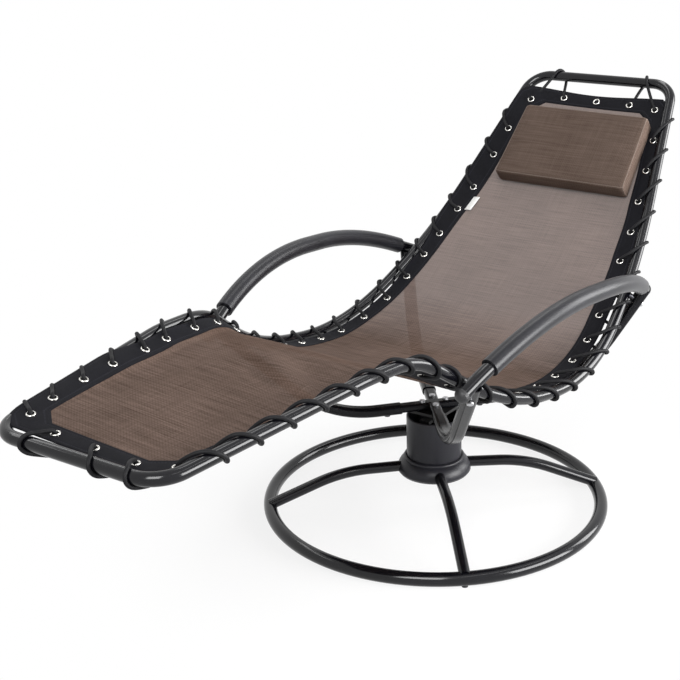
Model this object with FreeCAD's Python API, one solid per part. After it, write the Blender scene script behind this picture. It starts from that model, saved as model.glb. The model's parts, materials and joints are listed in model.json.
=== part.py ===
# Rocking lounge chair: a laced fabric sling on a bent tube frame, on four legs and a rocking, swivelling hub
# Millimetres, Z up, floor at Z = 0, head of the chair towards +X, left side at +Y
import copy
import FreeCAD
import Part
import math
import os
from FreeCAD import Vector

# Side rail bends: distance along the chair, half width and height of each corner of the tube's centre line
FOOT_CORNER = Vector(-843.5, 166, 487)
KNEE_FRONT = Vector(-426.5, 220, 509)
KNEE_REAR = Vector(-295.5, 228, 502)
SEAT_FRONT = Vector(-84.5, 286, 356)
SEAT_REAR = Vector(224.5, 294, 303)
BACK_LOW = Vector(515.5, 250, 449)
HEAD_CORNER = Vector(847.5, 172, 768)
KNEE_FRONT_BEND = 360.0
KNEE_REAR_BEND = 197.0
SEAT_FRONT_BEND = 530.0
SEAT_REAR_BEND = 460.0
BACK_BEND = 1000.0
END_CORNER_BEND = 55.0
RAIL_OD = 22.0
RAIL_WALL = 1.5
RAIL_SLEEVE_LENGTH = 46.0
SLEEVE_CLEARANCE = 0.1

# Hub and base
HUB_X = 120.5
RING_RADIUS = 340.0
RING_OD = 27.0
RING_WALL = 1.8
GLIDE_HEIGHT = 3.0
GLIDE_DIAMETER = 12.0
GLIDE_RISE = 4.0
SPOKE_OD = 22.0
SPOKE_WALL = 1.6
SPOKE_AZIMUTH = 41.6
SPOKE_HUB_HEIGHT = 91.0
SPOKE_BEND_REACH = 190.0
SPOKE_BEND_HEIGHT = 87.0
SPOKE_BEND = 300.0
DRAIN_HOLE_DIAMETER = 5.0
COLLAR_BASE_Z = 77.5
COLLAR_BASE_RADIUS = 71.0
COLLAR_WIDE_RADIUS = 75.0
COLLAR_WIDE_Z = 83.0
COLLAR_NECK_RADIUS = 62.0
COLLAR_NECK_Z = 108.0
COLLAR_LIP_HEIGHT = 6.0
COLLAR_FLOOR = 6.0
CUP_RADIUS = 56.0
CUP_WALL = 3.0
CUP_RIM_Z = 200.5
CUP_FLOOR = 5.0
CUP_RUNNING_GAP = 0.6
POST_RADIUS = 15.0
POST_TOP_Z = 134.0
POST_FLANGE_RADIUS = 26.0
POST_FLANGE = 3.0
BUSH_WALL = 3.0
BUSH_LENGTH = 14.0
BUSH_RUNNING_CLEARANCE = 0.05
SOCKET_WALL = 4.0
SOCKET_HEIGHT = 34.0
THRUST_WASHER = 2.0
POST_NUT_HEIGHT = 8.0
POST_NUT_WIDTH = 36.0
POST_WASHER = 2.0

# Rocker inside the cup
PIN_Z = 172.0
PIN_RADIUS = 8.0
PIN_CLEARANCE = 0.05
EAR_GAP = 44.0
EAR_THICKNESS = 6.0
EAR_WIDTH = 34.0
ROCKER_BOSS_RADIUS = 15.0
ROCKER_BUSH_WALL = 2.5
ROCKER_SIDE_GAP = 0.4
ROCKER_NECK_WIDTH = 24.0
ROCKER_WING_REACH = 36.0
ROCKER_WING_WIDTH = 22.0
ROCKER_WING = 6.0
ROCKER_WING_Z = 193.0
ROCKER_PLATE = 6.0
ROCKER_PLATE_WIDTH = 70.0
STOP_REACH = 27.0
STOP_RADIUS = 9.0
STOP_TOP_Z = 187.0
BRIDGE_Z = 140.0
BRIDGE = 6.0
WELD_FIT = 0.1

# Cross fitting and legs: flat oval tube, four legs on a cross
CROSS_Z = 223.0
LEG_WIDTH = 28.0
LEG_HEIGHT = 20.0
LEG_EDGE = 8.0
LEG_WALL = 1.8
LEG_START = 70.0
FRONT_LEG_REACH = 218.0
FRONT_LEG_BEND = 240.0
REAR_LEG_REACH = 305.0
REAR_LEG_BEND = 250.0
LEG_TOP_OFFSET = 8.0
FRONT_LEG_AZIMUTH = 139.2
REAR_LEG_AZIMUTH = 40.0
STUB_END = 118.0
STUB_CLEARANCE = 0.2
COPE_GAP = 0.2

# Arms: a bent tube outside each rail, rising and bowed outwards, with a foam grip
ARM_FRONT = Vector(-231, 279.4, 429.5)
ARM_RISE = Vector(-51, 320, 521)
ARM_FALL = Vector(316, 329, 489)
ARM_REAR = Vector(488, 281, 412)
ARM_FRONT_BEND = 650.0
ARM_REAR_BEND = 590.0
ARM_OD = 25.0
ARM_WALL = 1.5
GRIP_OD = 34.0
GRIP_GAP = 0.15
GRIP_START_X = -168.0
GRIP_END_X = 441.0
ARM_CAP_DOME = 10.0
ARM_CAP_PLUG = 14.0
ARM_CAP_LIP = 1.2
ARM_CAP_BRIM = 6.0

# Fasteners
BOLT_RADIUS = 3.0
BOLT_HEAD_RADIUS = 6.0
BOLT_HEAD = 3.5
BOLT_CLEARANCE = 0.15
RAIL_BOLT_REST = 1.3
LEG_BOLT_REACH = 98.0
LEG_BOLT_DEPTH = 6.0
CROSS_BOLT_REACH = 24.5

# Sling: mesh panel in a hemmed border, laced through eyelets
SLING_THICKNESS = 1.6
BORDER_EDGE_INSET = 16.0
BORDER_INNER_INSET = 58.0
FOOT_EDGE = 17.0
FOOT_BORDER = 40.0
HEAD_EDGE = 40.0
HEAD_BORDER = 42.0
CORNER_CHAMFER = 26.0
FOOT_SHEET_CORNER = 20.0
HEAD_SHEET_CORNER = 12.0
KNEE_DROOP = 22.0
DROOP_END = 900.0
EYELET_INSET = 30.0
EYELET_HOLE_RADIUS = 4.6
EYELET_COUNT = 25
EYELET_FIRST = 63.0
EYELET_PITCH = 66.5
EYELET_PITCH_GROWTH = 0.3
END_EYELET_SPACING = 80.0
END_EYELET_OFFSET = -10.0
FOOT_EYELET_INSET = 36.0
HEAD_EYELET_INSET = 64.0
CORD_RADIUS = 2.4
CORD_GAP = 0.5
LEFT_LEAN = (0.12, 0.26, 0.62)
RIGHT_LEAN = (0.36, 0.75, 0.90)
FRONT_LEG_TURN = 8
FRONT_LEG_LEAN = (0.26, 0.54, 0.70)
REAR_LEG_TURN = 17
REAR_LEG_LEAN = (0.33, 0.69, 0.83)

# Head pillow
PILLOW_WIDTH = 300.0
PILLOW_LENGTH = 178.0
PILLOW_EDGE = 34.0
PILLOW_CROWN = 52.0
PILLOW_CENTRE = 1700.0
PILLOW_OFFSET = -10.0
PILLOW_DRAW_IN = 8.0
PILLOW_LIFT = 0.4

RAIL_RADIUS = RAIL_OD / 2
ARM_RADIUS = ARM_OD / 2
RING_Z = GLIDE_HEIGHT + RING_OD / 2
UP = Vector(0, 0, 1)


def mirrored(point):
    return Vector(point.x, -point.y, point.z)


class Route:
    """A tube's centre line: straight runs between corners, each corner rounded by a tangent arc"""

    def __init__(self, corners, bends):
        self.runs = []
        here = corners[0]
        for before, corner, after, bend in zip(corners, corners[1:], corners[2:], bends):
            back = (before - corner).normalize()
            ahead = (after - corner).normalize()
            turn = math.pi - back.getAngle(ahead)
            reach = bend * math.tan(turn / 2)
            start = corner + back * reach
            end = corner + ahead * reach
            centre = corner + (back + ahead).normalize() * (bend / math.cos(turn / 2))
            self.runs.append((here, start, None, 0.0))
            self.runs.append((start, end, centre, turn))
            here = end
        self.runs.append((here, corners[-1], None, 0.0))
        self.lengths = [self._length(run) for run in self.runs]
        self.length = sum(self.lengths)

    @staticmethod
    def _length(run):
        start, end, centre, turn = run
        return (end - start).Length if centre is None else (start - centre).Length * turn

    @staticmethod
    def _along(run, share):
        start, end, centre, turn = run
        if centre is None:
            return start + (end - start) * share, (end - start).normalize()
        a = start - centre
        b = end - centre
        place = (a * math.sin((1 - share) * turn) + b * math.sin(share * turn)) * (1 / math.sin(turn))
        course = b * math.cos(share * turn) - a * math.cos((1 - share) * turn)
        return centre + place, course.normalize()

    def at(self, distance):
        """Point and direction at a distance from the start"""
        for run, length in zip(self.runs, self.lengths):
            if distance <= length or run is self.runs[-1]:
                return self._along(run, distance / length)
            distance -= length

    def between(self, low, high):
        """The stretch from one distance to another, as a line of its own"""
        stretch = copy.copy(self)
        stretch.runs = []
        passed = 0.0
        for run, length in zip(self.runs, self.lengths):
            first = min(max((low - passed) / length, 0.0), 1.0)
            last = min(max((high - passed) / length, 0.0), 1.0)
            passed += length
            if last > first:
                start = self._along(run, first)[0]
                end = self._along(run, last)[0]
                stretch.runs.append((start, end, run[2], run[3] * (last - first)))
        stretch.lengths = [self._length(run) for run in stretch.runs]
        stretch.length = sum(stretch.lengths)
        return stretch

    def wire(self):
        edges = []
        for run in self.runs:
            start, end, centre, turn = run
            if centre is None:
                edges.append(Part.LineSegment(start, end).toShape())
            else:
                edges.append(Part.Arc(start, self._along(run, 0.5)[0], end).toShape())
        return Part.Wire(edges)

    def sweep(self, *radii):
        """A round bar along the line; with a second radius, a tube"""
        start, course = self.at(0)
        outlines = [circle(start, course, radius) for radius in radii]
        return self.wire().makePipe(Part.makeFace(outlines, "Part::FaceMakerBullseye"))

    def tube(self, diameter, wall):
        return self.sweep(diameter / 2, diameter / 2 - wall)


def circle(centre, normal, radius):
    return Part.Wire(Part.Circle(centre, normal, radius).toShape())


def rod(start, end, radius):
    return Part.makeCylinder(radius, (end - start).Length, start, end - start)


def revolved(profile, x=HUB_X):
    """A turned piece: profile is (radius, height) corners round the vertical axis at x"""
    outline = Part.makePolygon([Vector(x + r, 0, z) for r, z in profile + profile[:1]])
    return Part.Face(outline).revolve(Vector(x, 0, 0), UP, 360)


def radial(azimuth):
    angle = math.radians(azimuth)
    return Vector(math.cos(angle), math.sin(angle), 0)


def hub_point(azimuth, reach, height):
    return Vector(HUB_X, 0, height) + radial(azimuth) * reach


def save(node, shape):
    shape.exportStep("parts/" + node + ".step")
    state = "valid" if shape.isValid() else "NOT VALID"
    print(node, len(shape.Solids), "solids", round(shape.Volume / 1000, 2), "cm3", state)


def rail_corners():
    return [FOOT_CORNER, KNEE_FRONT, KNEE_REAR, SEAT_FRONT, SEAT_REAR, BACK_LOW, HEAD_CORNER]


SIDE_BENDS = [KNEE_FRONT_BEND, KNEE_REAR_BEND, SEAT_FRONT_BEND, SEAT_REAR_BEND, BACK_BEND]
RAIL = Route(rail_corners(), SIDE_BENDS)
# The two halves of the frame meet in the middle of the straight run behind the knee
JOINT_RUN = RAIL.runs[4]
FRAME_JOINT = (JOINT_RUN[0] + JOINT_RUN[1]) * 0.5
JOINT_COURSE = (JOINT_RUN[1] - JOINT_RUN[0]).normalize()


def frame():
    """The two bent halves of the frame: foot bar with its rails, and head bar with its rails"""
    left = [FRAME_JOINT, KNEE_REAR, KNEE_FRONT, FOOT_CORNER]
    corners = left + [mirrored(p) for p in reversed(left)]
    half = [KNEE_REAR_BEND, KNEE_FRONT_BEND, END_CORNER_BEND]
    front = Route(corners, half + half[::-1])
    left = [FRAME_JOINT, SEAT_FRONT, SEAT_REAR, BACK_LOW, HEAD_CORNER]
    corners = left + [mirrored(p) for p in reversed(left)]
    half = [SEAT_FRONT_BEND, SEAT_REAR_BEND, BACK_BEND, END_CORNER_BEND]
    rear = Route(corners, half + half[::-1])
    return front.tube(RAIL_OD, RAIL_WALL), rear.tube(RAIL_OD, RAIL_WALL)


def both_sides(shape):
    return Part.makeCompound([shape, shape.mirror(Vector(0, 0, 0), Vector(0, 1, 0))])


def flipped(shape):
    return shape.mirror(Vector(0, 0, 0), Vector(0, 1, 0))


def bolt(head_seat, tip, clearance=0.0):
    """A bolt with a round head on its seat; with a clearance, the hole for it"""
    course = (tip - head_seat).normalize()
    if clearance:
        return rod(head_seat - course * BOLT_HEAD, tip + course * clearance, BOLT_RADIUS + clearance)
    head = rod(head_seat - course * BOLT_HEAD, head_seat, BOLT_HEAD_RADIUS)
    return rod(head_seat, tip, BOLT_RADIUS).fuse(head)


# The rail's local frame: point, direction, inward along the sling, outward from the sling
def rail_frame(distance, side):
    point, course = RAIL.at(distance)
    if side < 0:
        point = mirrored(point)
        course = mirrored(course)
    inward = Vector(0, -side, 0)
    inward = (inward - course * inward.dot(course)).normalize()
    normal = course.cross(inward)
    return point, course, inward, normal * (1 if normal.z > 0 else -1)


def bar_frame(y, end):
    """The same frame on the foot bar (end -1) or the head bar (end 1), going towards +Y"""
    corner, course = RAIL.at(0 if end < 0 else RAIL.length)
    inward = Vector(-end * course.x, 0, -end * course.z).normalize()
    normal = inward.cross(Vector(0, 1, 0))
    return Vector(corner.x, y, corner.z), Vector(0, 1, 0), inward, normal * (1 if normal.z > 0 else -1)


def droop(distance):
    """How far the stretched sling lies below the rails over the knee"""
    share = distance / DROOP_END
    return KNEE_DROOP * math.sin(math.pi * share) ** 2 if 0 < share < 1 else 0.0


def sheet_drop(distance, inset):
    share = (inset - BORDER_EDGE_INSET) / (BORDER_INNER_INSET - BORDER_EDGE_INSET)
    return droop(distance) * min(max(share, 0.0), 1.0)


def sheet_section(distance):
    """Thin closed outline across the sling at a distance along the rail"""
    point, course = RAIL.at(distance)
    up = Vector(-course.z, 0, course.x).normalize()
    middle = Vector(point.x, 0, point.z)
    across = [point.y - BORDER_EDGE_INSET, point.y - BORDER_INNER_INSET]
    drops = [0.0, droop(distance)]
    top = [middle + Vector(0, y, 0) - up * d for y, d in zip(across, drops)]
    top = top + [mirrored(p) for p in reversed(top)]
    under = [p - up * SLING_THICKNESS for p in reversed(top)]
    return Part.makePolygon(top + under + top[:1])


def plan_prism(inset, foot, head, foot_corner, head_corner):
    """Upright block over the sling's outline, drawn in from the rails"""
    start = foot + foot_corner
    end = RAIL.length - head - head_corner
    side = []
    for step in range(13):
        point = RAIL.at(start + (end - start) * step / 12)[0]
        side.append(Vector(point.x, point.y - inset, 0))
    foot_point = RAIL.at(foot)[0]
    head_point = RAIL.at(RAIL.length - head)[0]
    foot_end = Vector(foot_point.x, foot_point.y - inset - foot_corner, 0)
    head_end = Vector(head_point.x, head_point.y - inset - head_corner, 0)
    curve = Part.BSplineCurve()
    curve.interpolate(side)
    left = curve.toShape()
    edges = [Part.makeLine(foot_end, side[0]), left, Part.makeLine(side[-1], head_end)]
    edges.append(Part.makeLine(head_end, mirrored(head_end)))
    edges += [flipped(edge) for edge in reversed(edges[:3])]
    edges.append(Part.makeLine(mirrored(foot_end), foot_end))
    outline = Part.Wire(Part.__sortEdges__(edges))
    return Part.Face(outline).extrude(Vector(0, 0, 2 * HEAD_CORNER.z))


def sling():
    """Mesh panel and hemmed border, cut from one thin stretched sheet"""
    stations = 22
    reach = RAIL.length - 10
    sections = [sheet_section(5 + reach * k / stations) for k in range(stations + 1)]
    sheet = Part.makeLoft(sections, True, False)
    outline = plan_prism(BORDER_EDGE_INSET, FOOT_EDGE, HEAD_EDGE, FOOT_SHEET_CORNER, HEAD_SHEET_CORNER)
    sheet = sheet.common(outline)
    foot = FOOT_EDGE + FOOT_BORDER
    middle = plan_prism(BORDER_INNER_INSET, foot, HEAD_EDGE + HEAD_BORDER, CORNER_CHAMFER, CORNER_CHAMFER)
    border = sheet.cut(middle)
    holes = [rod(e - n * 6, e + n * 6, EYELET_HOLE_RADIUS) for e, n in all_eyelets()]
    return sheet.common(middle), border.cut(Part.makeCompound(holes))


def eyelet_distances():
    return [EYELET_FIRST + EYELET_PITCH * k + EYELET_PITCH_GROWTH * k * k for k in range(EYELET_COUNT)]


def side_eyelet(distance, side):
    point, course, inward, normal = rail_frame(distance, side)
    return point + inward * EYELET_INSET - normal * sheet_drop(distance, EYELET_INSET), normal


def end_eyelet(y, end):
    point, course, inward, normal = bar_frame(y, end)
    return point + inward * (FOOT_EYELET_INSET if end < 0 else HEAD_EYELET_INSET), normal


def end_eyelet_places():
    return [END_EYELET_OFFSET + END_EYELET_SPACING * k for k in (1, 0, -1)]


def all_eyelets():
    sides = [side_eyelet(d, side) for side in (1, -1) for d in eyelet_distances()]
    return sides + [end_eyelet(y, end) for end in (-1, 1) for y in end_eyelet_places()]


def arc_from(start, course, end):
    """The arc that leaves start along course and reaches end"""
    chord = end - start
    length = chord.Length
    chord.normalize()
    lean = course.getAngle(chord)
    if lean < 1e-4:
        return Part.LineSegment(start, end).toShape()
    bulge = (course - chord * course.dot(chord)).normalize()
    middle = (start + end) * 0.5 + bulge * (length / 2 * math.tan(lean / 2))
    return Part.Arc(start, middle, end).toShape()


def biarc(p, p_course, q, q_course):
    """Two tangent arcs from p to q"""
    v = q - p
    a = 2 * (1 - p_course.dot(q_course))
    b = v.dot(p_course + q_course)
    c = v.dot(v)
    d = c / (2 * b) if a < 1e-6 else (math.sqrt(b * b + a * c) - b) / a
    knee_p = p + p_course * d
    knee_q = q - q_course * d
    middle = (knee_p + knee_q) * 0.5
    return [arc_from(p, p_course, middle), arc_from(middle, (knee_q - knee_p).normalize(), q)]


def cord(stops):
    """One unbroken cord through (point, direction) stops, with short straight ends"""
    first, first_course = stops[0]
    last, last_course = stops[-1]
    tail = 2 * CORD_RADIUS
    edges = [Part.LineSegment(first - first_course * tail, first).toShape()]
    for (p, p_course), (q, q_course) in zip(stops, stops[1:]):
        edges += biarc(p, p_course, q, q_course)
    edges.append(Part.LineSegment(last, last + last_course * tail).toShape())
    start = circle(first - first_course * tail, first_course, CORD_RADIUS)
    return Part.Wire(edges).makePipeShell([start], True, False), edges


def winding(places, frame_at, eyelet_at, leans, close):
    """Cord stops: up through each eyelet, over the tube, down its far side and back under it"""
    reach = RAIL_RADIUS + CORD_GAP + CORD_RADIUS
    quarter = reach * math.pi / 2
    stops = []
    pitch = places[1] - places[0] if len(places) > 1 else END_EYELET_SPACING * close
    for k, place in enumerate(places):
        eyelet, normal = eyelet_at(place)
        way = frame_at(place)[1]
        if k + 1 < len(places):
            pitch = places[k + 1] - place
        span = (eyelet - frame_at(place)[0]).Length + quarter
        before = stops[-1][2] if stops else place
        over, outer, under = [place + pitch * share for share in leans[k]]
        stops.append((eyelet, (normal + way * ((over - before) / (2 * span))).normalize(), place))
        if k + 1 == len(places) and not close:
            break
        point, course, inward, up = frame_at(over)
        stops.append((point + up * reach, (course * ((outer - place) / span) - inward).normalize(), over))
        point, course, inward, up = frame_at(outer)
        way = (course * ((under - over) / (2 * quarter)) - up).normalize()
        stops.append((point - inward * reach, way, outer))
        point, course, inward, up = frame_at(under)
        rise = (place + pitch - outer) / span
        stops.append((point - up * reach, (course * rise + inward).normalize(), under))
    return [(p, c) for p, c, place in stops]


def cord_gaps(edges):
    """Smallest gap between one turn of the cord and the next, from points along it"""
    points = []
    travel = 0.0
    for edge in edges:
        for p in edge.discretize(7)[:-1]:
            points.append((travel, p))
            travel += edge.Length / 6
    least = 1e9
    for k, (s, p) in enumerate(points):
        for t, q in points[k + 1:k + 160]:
            if t - s > 12 * CORD_RADIUS:
                least = min(least, (p - q).Length)
    return least - 2 * CORD_RADIUS


def side_lacing(side, leans):
    places = eyelet_distances()
    return cord(winding(places, lambda d: rail_frame(d, side), lambda d: side_eyelet(d, side), leans, 0))


def right_leans():
    """The turns beside the two legs stand steeper, to pass clear of them"""
    leans = [RIGHT_LEAN] * EYELET_COUNT
    leans[FRONT_LEG_TURN] = FRONT_LEG_LEAN
    leans[REAR_LEG_TURN] = REAR_LEG_LEAN
    return leans


def end_lacing():
    places = end_eyelet_places()
    leans = [LEFT_LEAN] * len(places)
    foot = winding(places, lambda y: bar_frame(y, -1), lambda y: end_eyelet(y, -1), leans, 1)
    left = winding(places[:1], lambda y: bar_frame(y, 1), lambda y: end_eyelet(y, 1), leans, 0.6)
    right = winding(places[2:], lambda y: bar_frame(y, 1), lambda y: end_eyelet(y, 1), leans, -0.6)
    return cord(foot)[0], Part.makeCompound([cord(left)[0], cord(right)[0]])


def pillow():
    """A boxed cushion: flat underneath, crowned on top, drawn in towards its ends"""
    sections = []
    point, course, inward, normal = rail_frame(PILLOW_CENTRE, 1)
    along = Vector(course.x, 0, course.z).normalize()
    up = Vector(-along.z, 0, along.x)
    centre = Vector(point.x, PILLOW_OFFSET, point.z) + up * PILLOW_LIFT
    half = PILLOW_LENGTH / 2
    for place, draw, height in ((-half, PILLOW_DRAW_IN, 0.0), (-half * 0.8, 0.0, 0.6), (0.0, 0.0, 1.0),
                                (half * 0.8, 0.0, 0.6), (half, PILLOW_DRAW_IN, 0.0)):
        origin = centre + along * place
        width = PILLOW_WIDTH / 2 - draw
        edge = PILLOW_EDGE - draw
        crown = PILLOW_EDGE + (PILLOW_CROWN - PILLOW_EDGE) * height
        a = origin + Vector(0, -width + PILLOW_DRAW_IN, 0)
        b = origin + Vector(0, width - PILLOW_DRAW_IN, 0)
        c = origin + Vector(0, width - PILLOW_DRAW_IN, 0) + up * edge
        d = origin + Vector(0, -width + PILLOW_DRAW_IN, 0) + up * edge
        side_b = origin + Vector(0, width, 0) + up * (edge / 2)
        side_a = origin + Vector(0, -width, 0) + up * (edge / 2)
        edges = [Part.LineSegment(a, b).toShape(), Part.Arc(b, side_b, c).toShape()]
        edges += [Part.Arc(c, origin + up * (crown + 0.5), d).toShape(), Part.Arc(d, side_a, a).toShape()]
        sections.append(Part.Wire(edges))
    return Part.makeLoft(sections, True, False)


ARM = Route([ARM_FRONT, ARM_RISE, ARM_FALL, ARM_REAR], [ARM_FRONT_BEND, ARM_REAR_BEND])


def arm_distance(beyond):
    """How far along the arm a test on its points begins to hold"""
    low, high = 0.0, ARM.length
    for step in range(50):
        middle = (low + high) / 2
        if beyond(ARM.at(middle)[0]):
            high = middle
        else:
            low = middle
    return low


def end_cap(seat, outward):
    """A plug in the tube's end with a domed head"""
    plug = rod(seat - outward * ARM_CAP_PLUG, seat, ARM_RADIUS - ARM_WALL - SLEEVE_CLEARANCE)
    rim = ARM_RADIUS + ARM_CAP_LIP
    ball = (rim * rim + ARM_CAP_DOME * ARM_CAP_DOME) / (2 * ARM_CAP_DOME)
    brim = seat + outward * ARM_CAP_BRIM
    centre = brim + outward * (ARM_CAP_DOME - ball)
    dome = Part.makeSphere(ball, centre).common(rod(seat, brim + outward * ball, rim))
    return dome.fuse(plug).removeSplitter()


def oval(origin, across, up, width, height, edge):
    """Flat oval outline square to a tube"""
    a = width / 2
    b = height / 2
    s = edge * (1 - math.sqrt(0.5))

    def at(u, v):
        return origin + across * u + up * v

    edges = []
    for fu, fv in ((1, 1), (-1, 1), (-1, -1), (1, -1)):
        side = at(fu * a, fv * (b - edge))
        end = at(fu * (a - edge), fv * b)
        middle = at(fu * (a - s), fv * (b - s))
        if fu * fv > 0:
            edges.append(Part.Arc(side, middle, end).toShape())
        else:
            edges.append(Part.Arc(end, middle, side).toShape())
    for one, two in (((a - edge, b), (edge - a, b)), ((-a, b - edge), (-a, edge - b)),
                     ((edge - a, -b), (a - edge, -b)), ((a, edge - b), (a, b - edge))):
        edges.append(Part.makeLine(at(*one), at(*two)))
    return Part.Wire(Part.__sortEdges__(edges))


def leg_top(azimuth):
    """Where a leg's plane through the hub meets the arm's line"""
    rearward = radial(azimuth).cross(UP)
    return ARM.at(arm_distance(lambda point: (point - Vector(HUB_X, 0, 0)).dot(rearward) > 0))[0]


def leg_route(azimuth):
    """Out level from the cross, then up to just under the arm"""
    front = azimuth > 90
    target = leg_top(azimuth) + radial(azimuth) * LEG_TOP_OFFSET
    corner = hub_point(azimuth, FRONT_LEG_REACH if front else REAR_LEG_REACH, CROSS_Z)
    back = (corner - target).normalize()
    corners = [hub_point(azimuth, LEG_START, CROSS_Z), corner, target + back * 4]
    return Route(corners, [FRONT_LEG_BEND if front else REAR_LEG_BEND])


def leg(azimuth):
    route = leg_route(azimuth)
    across = radial(azimuth).cross(UP)
    start = hub_point(azimuth, LEG_START, CROSS_Z)
    outer = oval(start, across, UP, LEG_WIDTH, LEG_HEIGHT, LEG_EDGE)
    inner = oval(start, across, UP, LEG_WIDTH - 2 * LEG_WALL, LEG_HEIGHT - 2 * LEG_WALL, LEG_EDGE - LEG_WALL)
    tube = route.wire().makePipe(Part.makeFace([outer, inner], "Part::FaceMakerBullseye"))
    tube = tube.cut(ARM.sweep(ARM_RADIUS + COPE_GAP)).cut(RAIL.sweep(RAIL_RADIUS + COPE_GAP))
    return max(tube.Solids, key=lambda solid: solid.Volume)


def stub(azimuth):
    width = LEG_WIDTH - 2 * LEG_WALL - 2 * STUB_CLEARANCE
    height = LEG_HEIGHT - 2 * LEG_WALL - 2 * STUB_CLEARANCE
    across = radial(azimuth).cross(UP)
    edge = LEG_EDGE - LEG_WALL - STUB_CLEARANCE
    outline = oval(hub_point(azimuth, 0, CROSS_Z), across, UP, width, height, edge)
    return Part.Face(outline).extrude(radial(azimuth) * STUB_END)


def rail_crossing(azimuth):
    """Nearest points of a leg's upper straight and the rail it passes"""
    start, end, centre, turn = leg_route(azimuth).runs[-1]
    course = (end - start).normalize()
    best = None
    for step in range(int(RAIL.length / 2)):
        on_rail = RAIL.at(2 * step)[0]
        reach = min(max((on_rail - start).dot(course), 0.0), (end - start).Length)
        on_leg = start + course * reach
        gap = (on_rail - on_leg).Length
        if best is None or gap < best[0]:
            best = (gap, on_leg, on_rail)
    return best


def rail_bolt(azimuth, clearance=0.0):
    """Bolt from the outside of a leg into the wall of the rail"""
    gap, on_leg, on_rail = rail_crossing(azimuth)
    outward = (on_leg - on_rail).normalize()
    return bolt(on_leg + outward * (LEG_HEIGHT / 2 + RAIL_BOLT_REST), on_rail + outward * 2, clearance)


def rail_spacer(azimuth):
    """Sleeve on the bolt between a leg and the rail"""
    gap, on_leg, on_rail = rail_crossing(azimuth)
    outward = (on_leg - on_rail).normalize()
    start = on_rail + outward * (RAIL_RADIUS - 2)
    end = on_leg - outward * (LEG_HEIGHT / 2 - 2)
    sleeve = rod(start, end, BOLT_HEAD_RADIUS)
    return sleeve.cut(rod(on_rail, on_leg, BOLT_RADIUS + BOLT_CLEARANCE))


def upright_bolt(azimuth, reach, seat, tip, clearance=0.0):
    return bolt(hub_point(azimuth, reach, seat), hub_point(azimuth, reach, tip), clearance)


def spoke(number):
    azimuth = SPOKE_AZIMUTH + 90 * number
    corners = [hub_point(azimuth, COLLAR_NECK_RADIUS, SPOKE_HUB_HEIGHT)]
    corners.append(hub_point(azimuth, SPOKE_BEND_REACH, SPOKE_BEND_HEIGHT))
    corners.append(hub_point(azimuth, RING_RADIUS, RING_Z + RING_OD / 4))
    return Route(corners, [SPOKE_BEND]).tube(SPOKE_OD, SPOKE_WALL)


def ring(radius):
    return Part.makeTorus(RING_RADIUS, radius, Vector(HUB_X, 0, RING_Z), UP)


def collar_profile():
    """Outside of the collar: rounded foot, sloping shoulder and a rolled lip round the cup"""
    x = HUB_X
    lip = COLLAR_NECK_Z + COLLAR_LIP_HEIGHT
    bore = CUP_RADIUS + CUP_RUNNING_GAP
    foot = Vector(x + COLLAR_BASE_RADIUS, 0, COLLAR_BASE_Z)
    wide = Vector(x + COLLAR_WIDE_RADIUS, 0, COLLAR_WIDE_Z)
    neck = Vector(x + COLLAR_NECK_RADIUS, 0, COLLAR_NECK_Z)
    swell = Vector(x + COLLAR_WIDE_RADIUS - 3.0, 0, (COLLAR_WIDE_Z + COLLAR_NECK_Z) / 2 + 1)
    floor = COLLAR_BASE_Z + COLLAR_FLOOR
    hole = POST_RADIUS
    edges = [Part.makeLine(Vector(x + hole, 0, COLLAR_BASE_Z), foot), Part.makeLine(foot, wide)]
    edges.append(Part.Arc(wide, swell, neck).toShape())
    bead = Vector(x + COLLAR_NECK_RADIUS - 0.6, 0, lip - 1.2)
    edges.append(Part.Arc(neck, bead, Vector(x + bore + 1.5, 0, lip)).toShape())
    edges.append(Part.makeLine(Vector(x + bore + 1.5, 0, lip), Vector(x + bore, 0, lip - 1)))
    edges.append(Part.makeLine(Vector(x + bore, 0, lip - 1), Vector(x + bore, 0, floor)))
    edges.append(Part.makeLine(Vector(x + bore, 0, floor), Vector(x + hole, 0, floor)))
    edges.append(Part.makeLine(Vector(x + hole, 0, floor), Vector(x + hole, 0, COLLAR_BASE_Z)))
    return Part.Face(Part.Wire(edges)).revolve(Vector(x, 0, 0), UP, 360)


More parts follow.
